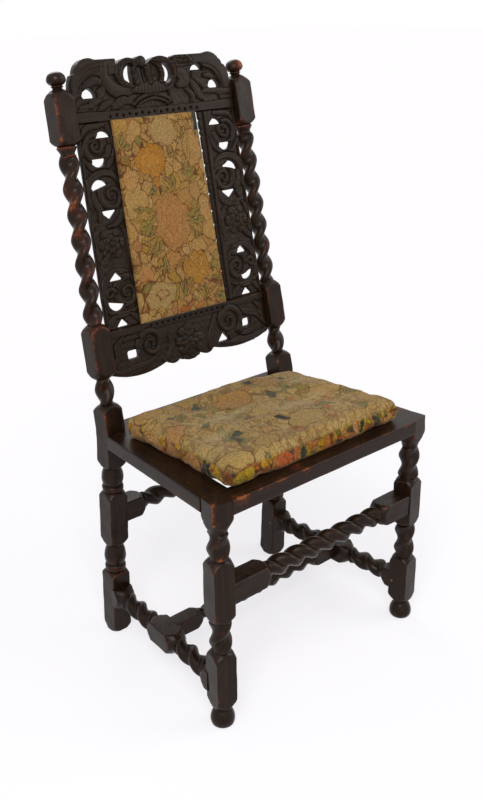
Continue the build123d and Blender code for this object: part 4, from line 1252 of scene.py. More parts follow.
# %% [markdown]
# ### Carving of the crest
# The two wings are laid first, then the plain band, the arch and at last the coronet, which lies
# over everything. No two scrolls match, so each one has its own stroke.

# %% Carving of the crest
def carve_crest(c):
    """Lays the strokes of the crest, from the ground up."""
    c.stroke([(-200, 572, 26), (-172, 572, 24)], rise=-0.8, fall=0.2)
    c.stroke([(200, 572, 26), (172, 572, 24)], rise=-0.8, fall=0.2)
    # left wing: a broad smooth rim, flutes that follow it, and the leaf about its opening
    c.stroke([(-178, 584, 16), (-180, 606, 17), (-170, 628, 20), (-145, 637, 20), (-112, 640, 18),
              (-84, 640, 14)], rise=0.0, fall=0.7)
    c.gouge([(-168, 590), (-167, 612), (-156, 632), (-138, 642), (-108, 646)],
            [(-163, 596), (-161, 612), (-150, 627), (-134, 636), (-108, 640)],
            [(-158, 604), (-154, 615), (-144, 624), (-130, 630), (-110, 633)], depth=1.7, half=1.5)
    c.stroke([(-150, 606, 5), (-140, 613, 8), (-127, 617, 8), (-112, 612, 5)], rise=0.2, fall=1.8, ribs=1)
    c.stroke([(-176, 572, 4), (-166, 584, 6), (-150, 586, 5), (-138, 598, 4)], rise=0.3, fall=1.6, ribs=1)
    c.stroke([(-146, 574, 4), (-134, 584, 9), (-122, 594, 9), (-112, 604, 5)], rise=0.4, fall=1.8, veins=3,
             cut=0.7)
    c.stroke([(-104, 642, 7), (-106, 622, 9), (-95, 603, 12), (-76, 594, 11), (-50, 597, 6)], rise=1.4,
             fall=1.8)
    c.gouge([(-98, 640), (-98, 622), (-88, 608), (-70, 602)], depth=0.8)
    c.stroke([(-128, 566, 4), (-116, 574, 7), (-104, 578, 6), (-94, 572, 3)], rise=0.1, fall=1.5, ribs=1)
    c.stroke([(-98, 566, 3), (-88, 574, 8), (-72, 580, 8), (-56, 574, 3)], rise=0.3, fall=1.8, veins=5,
             cut=0.7)
    # right wing
    c.stroke([(54, 640, 12), (84, 644, 12), (120, 642, 14), (150, 630, 14), (168, 604, 14),
              (172, 584, 10)], rise=0.1, fall=0.8)
    c.gouge([(104, 633), (128, 631), (148, 620), (158, 600), (160, 582)],
            [(112, 622), (130, 622), (144, 612), (150, 598)], depth=1.6, half=1.5)
    c.stroke([(118, 612, 4), (126, 612, 5), (134, 608, 5)], rise=0.4, fall=1.4)
    c.stroke([(52, 642, 6), (64, 646, 9), (80, 645, 8), (92, 640, 4)], rise=1.0, fall=1.8)
    for x, y in ((58, 643), (64, 648), (70, 642), (76, 647), (83, 643)):
        c.boss(x, y, 2.0, 1.0, 0.8)
    c.stroke([(46, 624, 5), (62, 618, 11), (68, 606, 12), (52, 598, 5)], rise=0.9, fall=1.6)
    c.gouge([(50, 620), (62, 614), (66, 604)], [(74, 622), (78, 608), (66, 596)], depth=0.8)
    c.stroke([(92, 618, 4), (96, 606, 7), (106, 600, 6), (112, 590, 3)], rise=0.6, fall=2.0, ribs=1)
    c.stroke([(84, 604, 4), (92, 592, 8), (100, 578, 8), (108, 570, 4)], rise=0.5, fall=1.8, veins=3,
             cut=0.7)
    c.stroke([(70, 590, 4), (80, 582, 6), (84, 572, 5), (78, 562, 3)], rise=0.2, fall=1.6, ribs=1)
    c.stroke([(110, 584, 4), (132, 584, 6), (160, 580, 6), (182, 582, 4)], rise=-0.2, fall=0.9)
    c.gouge([(118, 571), (142, 578), (184, 572)], [(-184, 573), (-158, 570), (-130, 562)], depth=0.8,
            half=1.2)
    # the plain flat band of the cane holes
    for x in (-1, 1):
        c.stroke([(x * 190, 556, 9), (x * 100, 556, 8.5), (0, 555.5, 8)], rise=-1.2, fall=0.2)
    # an arch of two mouldings over a fan
    c.stroke([(-54, 571, 3), (-42, 579, 3.6), (-26, 585, 3.8), (-9, 587, 3.8), (9, 584, 3.8),
              (24, 577, 3.4), (32, 570, 3)], rise=1.3, fall=1.4)
    c.stroke([(-48, 566, 2.6), (-34, 574, 3), (-9, 579, 3.2), (14, 574, 3), (26, 566, 2.6)], rise=0.9,
             fall=1.4)
    c.gouge(*([(CROWN + 0.35 * run, 564), (CROWN + run, 573 - abs(run) / 5)]
              for run in (-24, -14, -5, 5, 14, 24)), depth=0.9)
    c.stroke([(28, 570, 3), (34, 580, 5), (32, 592, 5), (26, 598, 3)], rise=0.8, fall=1.6, ribs=1)
    # coronet: a gouged band, three beaded hoops between two broad ones, and an orb
    c.stroke([(-50, 599, 8), (-30, 598, 9.5), (CROWN, 598, 10), (14, 598, 9.5), (30, 600, 8)], rise=1.6,
             fall=0.8)
    c.gouge(*([(x, 591), (x + 1, 606)] for x in (-42, -35, -28, -20, -12, -4, 4, 11, 18, 24)), depth=1.0,
            half=1.0)
    c.gouge([(-48, 590), (-10, 588), (28, 590)], depth=0.9)
    hoops = ([(-52, 604, 5), (-72, 612, 6), (-76, 630, 6.5), (-64, 646, 6.5), (-46, 648, 6), (-34, 640, 4)],
             [(-40, 608, 4.5), (-47, 622, 5), (-44, 636, 5), (-32, 643, 4.5), (-22, 640, 3.5)],
             [(-10, 608, 4.5), (-12, 622, 5), (-16, 636, 4.5), (-21, 643, 3.5)],
             [(16, 608, 4.5), (20, 622, 5), (14, 637, 5), (0, 645, 4.5), (-12, 644, 3.5)],
             [(-8, 648, 4), (14, 648, 6), (36, 642, 6.5), (46, 626, 6.5), (40, 610, 5.5), (24, 602, 4)])
    c.gouge([(-36, 612), (-38, 634)], [(-20, 612), (-22, 632)], [(3, 612), (0, 634)], depth=3.5, half=3.2)
    for hoop in hoops:
        c.stroke(hoop, rise=1.7, fall=1.8)
        line = smooth_line(hoop)
        for x, y, _ in line[3:-2:4]:
            c.boss(x, y, 1.9, 2.2, 0.7)
    c.boss(-24, 645, 10.5, 3.2, 3.5)


board("carved_crest", "crest_rail", crest_solids, crest_voids, 20.0, carve_crest, carved_walnut["x"],
      seed=61)


# %% [markdown]
# ## Stiles
# Each stile is a chain of opposed scrolls, with a rosette in the middle and an opening wherever
# two scrolls part. The carving of the left one mirrors that of the right one, but the right one
# comes closer to the panel, and its inner edge is nicked where cane was once drawn through.

# %% Back stiles
LOW_LINE = 181.0


def stile_outline(foot, head):
    """A stile between a post and the panel, whose edge runs from foot to head."""
    return drawn((foot, LOW_LINE), (post_inner(LOW_LINE) - 2.5, LOW_LINE, 0),
                 (post_inner(FOOT_LINE) - 2.5, FOOT_LINE, 0), (head, FOOT_LINE, 0))


STILE_EDGE = {-1: (104.0, 104.0), 1: (98.0, 92.0)}      # across, at the foot and at the head
NICKS = (531, 513, 502, 475, 447, 421, 392, 359, 332, 301, 271, 240, 206)
stile_voids = [
    half_moon(129, 526, 32, 11), half_moon(146, 478, 30, -14),
    turned_shape(half_moon(0, 3, 36, 14), -14, 154, 439),
    wedge(142, 386, 36, -16), wedge(151, 277, 31, 17), turned_shape(half_moon(0, 1, 35, -14), 14, 160, 220),
    wedge(152, 191, 27, 15),
]


def carve_stile(c):
    """Lays the strokes of the right stile."""
    c.stroke([(107, 181, 4.5), (107, 364, 4.5), (107, 548, 4.5)], rise=-0.8, fall=0.5)
    c.stroke([(188, 181, 4), (184, 364, 4), (179, 548, 4)], rise=-1.2, fall=0.6)
    c.stroke([(118, 543, 4), (140, 541, 6), (163, 538, 6), (176, 522, 3)], ribs=1)
    c.stroke([(118, 546, 5), (115, 520, 7), (116, 496, 8), (124, 477, 7), (141, 467, 5), (163, 469, 5),
              (178, 488, 3)], ribs=2)
    c.scroll(149, 508, 29, 4, -170, 480, 6.5)
    c.stroke([(177, 400, 3), (181, 425, 6), (173, 448, 8), (150, 460, 7), (126, 457, 6), (112, 440, 3)],
             ribs=2)
    c.scroll(131, 419, 27, 4, 60, -500, 6.5)
    c.stroke([(170, 432, 3), (168, 412, 7), (160, 394, 6), (166, 378, 3)], rise=0.3, veins=5)
    c.stroke([(112, 398, 3), (118, 382, 6), (130, 370, 6), (150, 366, 3)], veins=4)
    c.stroke([(176, 300, 3), (182, 322, 6), (180, 350, 6), (170, 368, 3)], veins=5)
    c.stroke([(114, 300, 3), (112, 322, 5), (114, 348, 5), (124, 364, 3)], veins=5)
    c.rosette(149, 335, 29, 6)
    c.stroke([(158, 318, 3), (170, 306, 6), (180, 296, 3)], rise=0.8, veins=4)
    c.stroke([(178, 214, 3), (183, 238, 6), (178, 266, 8), (158, 284, 7), (130, 280, 6), (114, 264, 3)],
             ribs=2)
    c.scroll(133, 243, 30, 4, 100, -480, 7)
    c.scroll(170, 246, 11, 3, 160, -200, 5, rise=0.5, fall=1.6)
    c.stroke([(116, 212, 3), (138, 206, 6), (162, 206, 7), (182, 216, 3)], ribs=2)
    c.stroke([(114, 186, 3), (122, 196, 6), (134, 204, 3)], veins=4)
    c.stroke([(184, 186, 3), (176, 198, 6), (166, 206, 3)], veins=4)


for side, hand in ((-1, "left"), (1, "right")):
    foot, head = STILE_EDGE[side]
    nicks = []
    if side > 0:
        slope = (head - foot) / (FOOT_LINE - LOW_LINE)
        nicks = [ring_hole(foot + slope * (v - LOW_LINE) - 0.5, v, 5.2) for v in NICKS]
    board("carved_stile_" + hand, "back_stile_" + hand, [stile_outline(foot, head)], stile_voids + nicks,
          12.0, carve_stile, carved_walnut["z"], seed=63 + side, mirror=side)


# %% [markdown]
# ## Lower rail of the back
# Its upper edge carries the second row of cane holes. A rosette sits at the middle, between two
# large scrolls with leaves, and the lower edge is scalloped to follow them.

# %% Lower rail
rail_solids, rail_voids = [], []
cusp = 96.0
for side in (-1, 1):
    shift = side * CROWN
    outer = post_inner(98.0)
    half = drawn((0, LOW_LINE), (0, cusp - 10, 0), (shift, cusp - 10, 0), (shift + 25.5, cusp, -3),
                 (shift + 57.5, cusp, -8), (outer, 98.0, -12), (post_inner(LOW_LINE), LOW_LINE, 0))
    square = drawn((129, 119), (151, 119, 0), (153, 121, 0), (153, 133, 0), (151, 135.5, 0),
                   (129, 135.5, 0), (127, 133, 0), (127, 121, 0))
    rail_solids.append(sided(half, side))
    rail_voids.append(sided(square, side))
rail_solids.append(np.array(((-30.0, 90.0), (12.0, 90.0), (12.0, 180.0), (-30.0, 180.0))))
rail_voids.append(wedge(78, 112, 34, 21))
for k in range(14):
    rail_voids.append(ring_hole(-94 + 13.5 * k, 171.0, 4.4))


def carve_lower_rail(c):
    """Lays the strokes of the lower rail; the rosette lies over them all."""
    c.stroke([(-200, 173, 7), (0, 172, 7), (200, 173, 7)], rise=-1.0, fall=0.4)
    c.stroke([(-190, 110, 3), (-178, 128, 7), (-176, 148, 7), (-160, 162, 4)], ribs=2)
    c.stroke([(-192, 104, 4), (-170, 98, 7), (-140, 100, 9), (-110, 104, 7), (-86, 116, 3)], ribs=3)
    c.scroll(-100, 138, 30, 4, 190, -400, 7)
    c.stroke([(-160, 156, 3), (-146, 160, 5), (-128, 158, 3)], veins=3)
    c.stroke([(-74, 100, 4), (-62, 108, 6), (-54, 124, 6), (-56, 146, 3)], ribs=2)
    c.stroke([(190, 112, 3), (178, 130, 7), (180, 150, 7), (166, 164, 4)], ribs=2)
    c.stroke([(188, 104, 4), (165, 98, 7), (135, 98, 9), (104, 98, 7), (70, 100, 3)], ribs=3)
    c.stroke([(172, 132, 3), (158, 144, 7), (138, 150, 7), (122, 160, 3)], rise=0.4, veins=6)
    c.stroke([(164, 118, 3), (150, 110, 6), (128, 108, 6), (110, 116, 3)], ribs=2)
    c.scroll(92, 140, 34, 4, -40, 520, 7.5)
    c.stroke([(38, 98, 4), (40, 112, 6), (46, 130, 6), (60, 160, 3)], ribs=2)
    c.rosette(CROWN, 126, 34, 8, 0.6)


board("carved_lower_rail", "lower_back_rail", rail_solids, rail_voids, 18.0, carve_lower_rail,
      carved_walnut["x"], seed=67)


# %% [markdown]
# ## Drawing in wool
# A worked cover shows flowers and leaves packed edge to edge, each cell outlined in brown wool.
# The drawing is made as an embroiderer fills canvas: a net of irregular cells for the ground,
# then leaves and blooms laid over it. It only says which wool lies at each stitch.

# %% Wools
GROUND = ["#AC9464", "#B09A6A", "#A88E5C", "#B39E72", "#A89058", "#AE9266"]
ACCENT = ["#AA845C", "#AC8646", "#A18A48", "#938A4E", "#86824E", "#A6805A", "#9A8A50", "#B09A60"]
OUTLINE = "#5A3019"


class Wools:
    """Linear wool colours at stitches whose places on the canvas are across and up, in mm."""

    def __init__(self, across, up, seed, cell=17.0, lively=0.3, ground=GROUND, accent=ACCENT, inked=0.85):
        generator = np.random.default_rng(seed)
        low, high = (across.min(), up.min()), (across.max(), up.max())
        lifted = np.column_stack((across, up, np.zeros(len(up))))
        warp = np.column_stack((uneven(lifted, 26, 3.2, seed), uneven(lifted, 21, 3.2, seed + 1)))
        self.at = np.column_stack((across, up)) + warp
        count = int((high[0] - low[0]) * (high[1] - low[1]) / cell ** 2)
        seeds = generator.uniform(low, high, (count, 2))
        first, second, owner = np.full(len(up), 1e9), np.full(len(up), 1e9), np.zeros(len(up), int)
        for k, seed_at in enumerate(seeds):
            distance = np.hypot(*(self.at - seed_at).T)
            nearer = distance < first
            second = np.where(nearer, first, np.minimum(second, distance))
            owner[nearer] = k
            first = np.where(nearer, distance, first)
        table = []
        for _ in range(count):
            chosen = accent if generator.random() < lively else ground
            table.append(linear(chosen[generator.integers(len(chosen))])[:3])
        self.colour = np.array(table)[owner]
        self.line((second - first) / 2, 0.95, OUTLINE, inked)

    def line(self, distance, half, colour, strength=0.85):
        """A stitched line of half mm each side of where distance is zero."""
        share = (np.clip(1.4 - np.abs(distance) / half, 0, 1) * strength)[:, None]
        self.colour = self.colour * (1 - share) + np.array(linear(colour)[:3]) * share

    def fill(self, field, colour, outline=OUTLINE, half=0.8):
        """Paints where field is below zero, and outlines its edge."""
        inside = field < 0
        self.colour[inside] = linear(colour)[:3]
        self.line(field, half, outline)

    def turned(self, x, y, angle):
        """Each stitch from x, y: how far along a direction in degrees, and how far to its left."""
        dx, dy = self.at[:, 0] - x, self.at[:, 1] - y
        c, s = math.cos(math.radians(angle)), math.sin(math.radians(angle))
        return dx * c + dy * s, -dx * s + dy * c

    def petal(self, x, y, angle, length, width, colour, outline=OUTLINE):
        """A pointed petal or leaf from x, y."""
        along, off = self.turned(x, y, angle)
        along = along / length
        profile = np.sin(math.pi * np.clip(along, 0, 1) ** 0.8) ** 0.75 * width / 2
        outside = np.maximum(-along, along - 1) * length
        field = np.where(outside > 0, np.maximum(outside, np.abs(off)), np.abs(off) - profile)
        self.fill(field, colour, outline)

    def oval(self, x, y, wide, tall, colour, lean=0.0, lobes=0, outline=OUTLINE):
        """A plain petal or heart; lobes scallop its edge."""
        p, q = self.turned(x, y, lean)
        p, q = p / wide, q / tall
        edge = 1 + (0.09 * np.abs(np.sin(np.arctan2(q, p) * lobes / 2)) if lobes else 0)
        self.fill((np.hypot(p, q) - edge) * min(wide, tall), colour, outline)

    def dash(self, x, y, angle, length, half, colour):
        """A short thick stitch, darker than the leaf it lies on."""
        along, off = self.turned(x, y, angle)
        self.line(np.hypot(np.maximum(np.abs(along) - length / 2, 0), off), half, colour)

    def leaves(self, x, y, angle, size, colours, dark, spread=(-50, -12, 30)):
        """Leaves from one point, each with dark stitches along its middle."""
        for number, swing in enumerate(spread):
            turned = angle + swing
            self.petal(x, y, turned, size, size * 0.42, colours[number % len(colours)])
            c, s = math.cos(math.radians(turned)), math.sin(math.radians(turned))
            self.dash(x + size * 0.42 * c, y + size * 0.42 * s, turned + 8, size * 0.26, 1.7, dark)
            self.dash(x + size * 0.72 * c, y + size * 0.72 * s, turned - 12, size * 0.16, 1.3, dark)


# Smoke and light brown every wool alike: the share of red, green and blue that is left
PANEL_AGED, SQUAB_AGED = np.array((0.86, 0.66, 0.42)), np.array((0.93, 0.78, 0.47))


def wool_on(mesh, colours, aged):
    """Gives a mesh the aged colour of its wool at each point."""
    layer = mesh.color_attributes.new("wool", "FLOAT_COLOR", "POINT")
    rows = np.column_stack((colours * aged, np.ones(len(colours))))
    layer.data.foreach_set("color", rows.astype(np.float32).ravel())


print("ground wools:", len(GROUND), "livelier wools:", len(ACCENT))


# %% [markdown]
# ## Needlework of the panel
# A great lobed flower fills the middle, and leaves with blue stitches fill what the smaller
# flowers leave. Each shape covers those written before it.

# %% Needlework of the panel
def panel_wools(across, up):
    """The wool at each stitch of the panel."""
    w = Wools(across, up, 73, cell=17.0, lively=0.22)
    yellow, green, blue, tan, ochre, pink = "#A38C50", "#8C844E", "#27383F", "#AF966A", "#AE8339", "#A8855A"
    plain = (
        (-6, 520, 36, 25, -20, "#A99972"), (57, 484, 22, 34, 8, "#AE9468"), (70, 350, 17, 46, 6, tan),
        (-92, 400, 26, 34, 0, "#AE9A6A"), (-96, 442, 20, 18, 20, "#B0946A"), (-76, 524, 24, 16, 30, tan),
        (24, 396, 15, 16, 0, "#A88C5E"), (48, 402, 14, 17, 0, "#AA8E62"), (34, 300, 22, 14, 0, tan),
    )
    for x, y, wide, tall, lean, colour in plain:
        w.oval(x, y, wide, tall, colour, lean)
    for offset in (-9, -4.5, 0, 4.5, 9):
        x, y = w.at[:, 0], w.at[:, 1]
        stem = 34 + offset + 10 * np.sin((y - 440) / 42)
        w.line(np.where((y > 436) & (y < 548), np.abs(x - stem), 99), 0.8,
               "#5C5232" if offset else "#7D8350")
    w.leaves(-112, 496, 50, 34, [green, yellow], blue, (-36, 0, 34))
    w.leaves(-116, 474, 10, 26, [yellow, "#9C8A5A"], "#4E4636", (-30, 12))
    w.leaves(4, 470, 70, 26, [yellow, green], blue, (-40, 30))
    w.leaves(-40, 418, 195, 28, [tan, green], "#39434B", (-40, 0))
    w.leaves(-8, 408, 92, 36, [green, yellow], blue, (-16, 14))
    w.leaves(28, 432, 20, 34, [yellow, green], "#5F6A38", (-20, 12))
    w.leaves(-52, 372, 205, 52, [green, yellow, "#94904E"], blue, (-46, -20, 6, 32))
    w.leaves(-50, 330, 215, 44, [yellow, "#98884C", green], "#4A4440", (-30, 0, 30))
    w.leaves(20, 352, -20, 44, [green, yellow, "#8C8A4C"], blue, (-46, -16, 16, 46))
    w.leaves(-46, 292, 250, 34, [yellow, green], blue, (-32, 4, 34))
    w.leaves(6, 282, 235, 30, [yellow, green], blue, (-20, 12))
    w.oval(-45, 470, 34, 27, ochre, -8, 7)
    w.oval(-47, 472, 19, 14, "#B58C42", -8, 5, "#94683A")
    w.petal(-34, 444, 265, 24, 18, ochre)
    w.oval(-62, 424, 13, 12, tan)
    for angle in range(0, 360, 30):
        w.petal(-17 + 34 * math.cos(math.radians(angle)), 356 + 46 * math.sin(math.radians(angle)), angle,
                15, 12, yellow if angle % 60 else tan)
    w.oval(-17, 356, 37, 52, pink, 3, 12)
    w.oval(-17, 356, 26, 41, "#AE8A5E", 3, 0, "#9B7048")
    w.oval(-17, 356, 13, 27, "#AC845A", 3, 0, "#9B7048")
    w.oval(-26, 287, 17, 14, "#AC8A5C")
    w.oval(24, 262, 30, 28, "#AE8A40", -6, 6)
    for angle in (-40, 0, 40, 80, 120, 160, 200):
        w.petal(24, 262, angle, 29, 15, "#B0914A" if angle % 80 else "#AC8640", "#8C6230")
    w.petal(-84, 262, 180, 28, 20, "#B0805A")
    w.petal(-84, 262, 120, 28, 20, "#B28C62")
    w.oval(-68, 224, 34, 24, "#A89A72", 6, 7)
    w.oval(-66, 225, 14, 10, "#AD9870")
    w.leaves(-10, 214, 80, 30, [yellow, green], blue, (-34, 20))
    w.leaves(30, 200, 70, 32, [yellow, green], blue, (-36, 0, 36))
    w.leaves(84, 226, 120, 30, ["#A9663A", green], blue, (-30, 30))
    w.leaves(86, 190, 120, 34, ["#A9663A", yellow, green], blue, (-40, 0, 36))
    w.petal(-30, 186, 20, 34, 12, "#A8683E")
    w.petal(10, 186, 10, 30, 12, "#AE7C46")
    w.line(np.where(up > 514, np.clip(76 - across, 0, 99), 99), 4.0, "#28364A", 1.0)
    return w.colour


# %% [markdown]
# ## Stuffed cover of the panel
# The needlework is drawn over a thin stuffing and round the edge of its board. A thickened plane
# would have a hard edge, so a net of points gets its height from how far in it lies. It is
# 1.25 mm fine, because each point also carries the colour of its stitch.

# %% Stuffed cover of the panel
BACKING = 5.0                  # thickness of the board behind the cover


def rounded_slab(left, right, foot, head, step, crown):
    """Points (across, off, up) and quads of a stuffed cover: front net, rolled edges, flat back."""
    across = np.linspace(left, right, int((right - left) / step) + 1)
    up = np.linspace(foot, head, int((head - foot) / step) + 1)
    grid_x, grid_y = np.meshgrid(across, up)
    inset = np.minimum.reduce((grid_x - left, right - grid_x, grid_y - foot, head - grid_y))
    front = BOARD_FACE - BACKING - 0.6 - crown(grid_x, grid_y) * np.clip(inset / 18, 0, 1) ** 0.5
    front += 3.2 * (1 - np.sqrt(1 - np.clip(1 - inset / 3.2, 0, 1) ** 2))
    rows, columns = grid_x.shape
    points = np.column_stack((grid_x.ravel(), front.ravel(), grid_y.ravel()))
    number = np.arange(rows * columns).reshape(rows, columns)
    faces = [(number[r, c], number[r, c + 1], number[r + 1, c + 1], number[r + 1, c])
             for r in range(rows - 1) for c in range(columns - 1)]
    loop = list(number[0]) + list(number[1:, -1]) + list(number[-1, -2::-1]) + list(number[-2:0:-1, 0])
    total = len(points)
    levels = [points[loop]]
    for off in (-9.6, -8.05):
        ring = points[loop].copy()
        ring[:, 1] = off
        levels.append(ring)
    base = [list(loop)]
    for ring in levels[1:]:
        base.append(list(range(total, total + len(loop))))
        points = np.vstack((points, ring))
        total += len(loop)
    for lower, upper in zip(base, base[1:]):
        for k in range(len(loop)):
            j = (k + 1) % len(loop)
            faces.append((lower[j], lower[k], upper[k], upper[j]))
    middle = (left + right) / 2, (foot + head) / 2
    points = np.vstack((points, (middle[0], -8.05, middle[1])))
    for k in range(len(loop)):
        faces.append((base[-1][(k + 1) % len(loop)], base[-1][k], total))
    return points, faces


def panel_swell(x, y):
    """How far the stuffing lifts the cover."""
    lifted = np.column_stack((x.ravel(), y.ravel(), np.zeros(x.size)))
    return 2.0 + uneven(lifted, 60, 0.45, 71).reshape(x.shape)


PANEL = dict(left=-118.0, right=85.0, foot=180.0, head=548.5)
# The cover is a little narrower at its head: its left and right edge at the foot and at the head
TAPERED = dict(foot=(-117.0, 89.0), head=(-110.0, 79.0))
STITCH_STEP = 1.25


def tapered_edge(number, up):
    """The left (0) or right (1) edge of the cover at a height up the back."""
    share = (up - PANEL["foot"]) / (PANEL["head"] - PANEL["foot"])
    return TAPERED["foot"][number] + share * (TAPERED["head"][number] - TAPERED["foot"][number])


flat, faces = rounded_slab(PANEL["left"], PANEL["right"], PANEL["foot"], PANEL["head"], STITCH_STEP,
        panel_swell)
wools = panel_wools(flat[:, 0], flat[:, 2])
left_edge, right_edge = tapered_edge(0, flat[:, 2]), tapered_edge(1, flat[:, 2])
across_share = (flat[:, 0] - PANEL["left"]) / (PANEL["right"] - PANEL["left"])
flat[:, 0] = left_edge + across_share * (right_edge - left_edge)
panel = piece("needlework_panel", on_back(flat), faces, panel_wool, slot="needlework", sharp=70)
wool_on(panel.data, wools, PANEL_AGED)
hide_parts("back_panel_needlework")
print("panel", len(panel.data.polygons), "faces")


# %% [markdown]
# ### Board behind the cover
# The board is a plain tapered slab. It stops short of the cover by the width that is wrapped over
# its edge.

# %% Board behind the cover
WRAP = 1.5
board_left = [TAPERED[end][0] + WRAP for end in ("foot", "head")]
board_right = [TAPERED[end][1] - WRAP for end in ("foot", "head")]
board_foot, board_head = PANEL["foot"] + WRAP, PANEL["head"] - WRAP
rings = [[(board_left[0], off, board_foot), (board_right[0], off, board_foot),
          (board_right[1], off, board_head), (board_left[1], off, board_head)]
         for off in (BOARD_FACE - BACKING, BOARD_FACE)]
board_points, board_faces = skin(rings)
backing = piece("tapered_pine_board", on_back(board_points), board_faces, planed_pine,
                slot="plain_pine", sharp=30)
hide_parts("back_panel_board")
print("board", len(backing.data.polygons), "faces")


# %% [markdown]
# ## Squab
# A loose flat cushion stuffed with hair. It could be modelled by hand, but inflating a cloth skin
# gives it the crowned sides and tight corners that sewing does.

# %% Stuffed squab
SQUAB = dict(left=-205.0, right=195.0, front=12.0, rear=290.0)
squab_x, squab_y = (SQUAB["left"] + SQUAB["right"]) / 2, FRONT_LINE + (SQUAB["front"] + SQUAB["rear"]) / 2
half_x, half_y = (SQUAB["right"] - SQUAB["left"]) / 2, (SQUAB["rear"] - SQUAB["front"]) / 2
BASE = SEAT_HEIGHT + 0.4


def squab_blank():
    """A soft-cornered slab, a little smaller than the finished squab, as rings from foot to top."""
    inset = 4.0
    power = 0.055              # near 0 a rectangle, at 1 an ellipse
    count = 96
    rings = []
    for z, pulled in ((0.5, 6.0), (3.0, 1.5), (9.0, 0.0), (18.0, 0.0), (28.0, 0.0), (34.0, 2.0), (37.0, 6.0)):
        ring = []
        for k in range(count):
            angle = 2 * math.pi * k / count
            c, s = math.cos(angle), math.sin(angle)
            x = math.copysign(abs(c) ** power, c) * (half_x - inset - pulled)
            y = math.copysign(abs(s) ** power, s) * (half_y - inset - pulled)
            ring.append((squab_x + x, squab_y + y, BASE + z))
        rings.append(np.array(ring))
    return skin(rings)


squab = piece("stuffed_squab", *squab_blank(), squab_wool, body="squab", slot="squab_cover", sharp=180)
remesh = squab.modifiers.new("even_net", "REMESH")
remesh.mode = "VOXEL"
remesh.voxel_size = 0.004


def apply_all(target):
    """Turns what the modifiers make of an object into its own mesh."""
    graph = bpy.context.evaluated_depsgraph_get()
    made = bpy.data.meshes.new_from_object(target.evaluated_get(graph))
    target.modifiers.clear()
    target.data = made


def set_positions(mesh, points):
    """Moves the points of a mesh to new places in mm."""
    mesh.vertices.foreach_set("co", (points * MM).ravel())
    mesh.update()


SETTLING_FRAMES = 20
MOST_STUFFING = 7.0            # mm that the cloth may move, so that it keeps its size
apply_all(squab)
before = positions(squab.data)
stuffing = squab.modifiers.new("stuffing", "CLOTH")
stuffing.settings.use_pressure = True
stuffing.settings.uniform_pressure_force = 4.0
stuffing.settings.quality = 5
stuffing.settings.mass = 0.4
stuffing.settings.effector_weights.gravity = 0.0
stuffing.collision_settings.use_collision = False
for number in range(1, SETTLING_FRAMES + 1):
    bpy.context.scene.frame_set(number)
apply_all(squab)
bpy.context.scene.frame_set(1)
move = positions(squab.data) - before
far = np.linalg.norm(move, axis=1)
print("stuffing moved the cover by up to", round(float(far.max()), 1), "mm")
set_positions(squab.data, before + move * np.minimum(1, MOST_STUFFING / np.maximum(far, 1e-6))[:, None])
finer = squab.modifiers.new("finer", "SUBSURF")
finer.levels = finer.render_levels = 1
apply_all(squab)
print("stuffed squab", len(squab.data.polygons), "faces")


# %% [markdown]
# ### Years of sitting
# The skin is fitted to the squab's four corners, which have settled unevenly. Sitting has pressed
# shallow dips into the top, and small puckers gather round the sides.

# %% Years of sitting
# Each in the order front left, front right, rear right, rear left; depths are from the front legs' line
CORNER_PLACES = (-211.0, 206.0, 200.0, -214.0)
CORNER_DEPTHS = (0.0, 4.0, 290.0, 294.0)
CORNER_HEIGHTS = (39.0, 41.0, 24.0, 40.0)
# Dips that sitting has left: place from -1 to 1 each way, size as a share of half the width, depth
DIPS = (
    (-0.33, 0.15, 0.16, 6.0), (0.38, -0.08, 0.14, 5.5), (-0.68, -0.22, 0.14, 4.5), (0.05, 0.42, 0.13, 3.5),
    (0.72, -0.4, 0.12, 3.0), (-0.1, -0.62, 0.13, 3.5),
)


def between(u, v, front_left, front_right, rear_right, rear_left):
    """A value that goes evenly from corner to corner; u and v run from -1 to 1."""
    s, t = (u + 1) / 2, (v + 1) / 2
    return (front_left * (1 - s) + front_right * s) * (1 - t) + (rear_left * (1 - s) + rear_right * s) * t


def squab_height(u, v):
    """Height of the top; the stuffing has settled most at the rear right corner."""
    return between(u, v, *CORNER_HEIGHTS) + 7.0 * np.exp(-((u - 0.2) ** 2 + (v - 0.75) ** 2) / 0.18)


points = positions(squab.data)
low_corner, high_corner = points.min(axis=0), points.max(axis=0)
u, v = ((2 * points - low_corner - high_corner) / (high_corner - low_corner)).T[:2]
up = points[:, 2] - BASE
rim = np.clip((np.maximum(np.abs(u), np.abs(v)) - 0.80) / 0.2, 0, 1)
height = squab_height(u, v)
level = np.clip(up / 38.0, 0, 1.15)
swell = uneven(points, 95.0, 1.8, 81) + uneven(points, 38.0, 0.9, 82)
for x, y, size, depth in DIPS:
    swell -= 1.15 * depth * np.exp(-((u - x) ** 2 + ((v - y) * half_y / half_x) ** 2) / (2 * size ** 2))
around = np.arctan2(v, u)
lifted = np.column_stack((np.cos(around) * 300, np.sin(around) * 260, up * 0.35))
pucker = uneven(lifted, 15.0, 2.4, 83) + uneven(lifted, 32.0, 2.2, 84) + uneven(points, 9.0, 1.1, 85)
side_zone = rim * np.clip(1 - np.abs(level - 0.4) / 0.62, 0, 1)
reach_x, reach_y = 1 + pucker * side_zone / half_x, 1 + pucker * side_zone / half_y
points[:, 0] = between(u * reach_x, v, *CORNER_PLACES)
points[:, 1] = FRONT_LINE + between(u, v * reach_y, *CORNER_DEPTHS)
points[:, 1] -= 9.0 * (1 - (u - 0.1) ** 2) * np.clip(-v, 0, 1) ** 4 * (1 - 0.5 * level)
points[:, 2] = BASE + level * height + (swell + 2.5) * level ** 2 * (1 - 0.6 * rim)
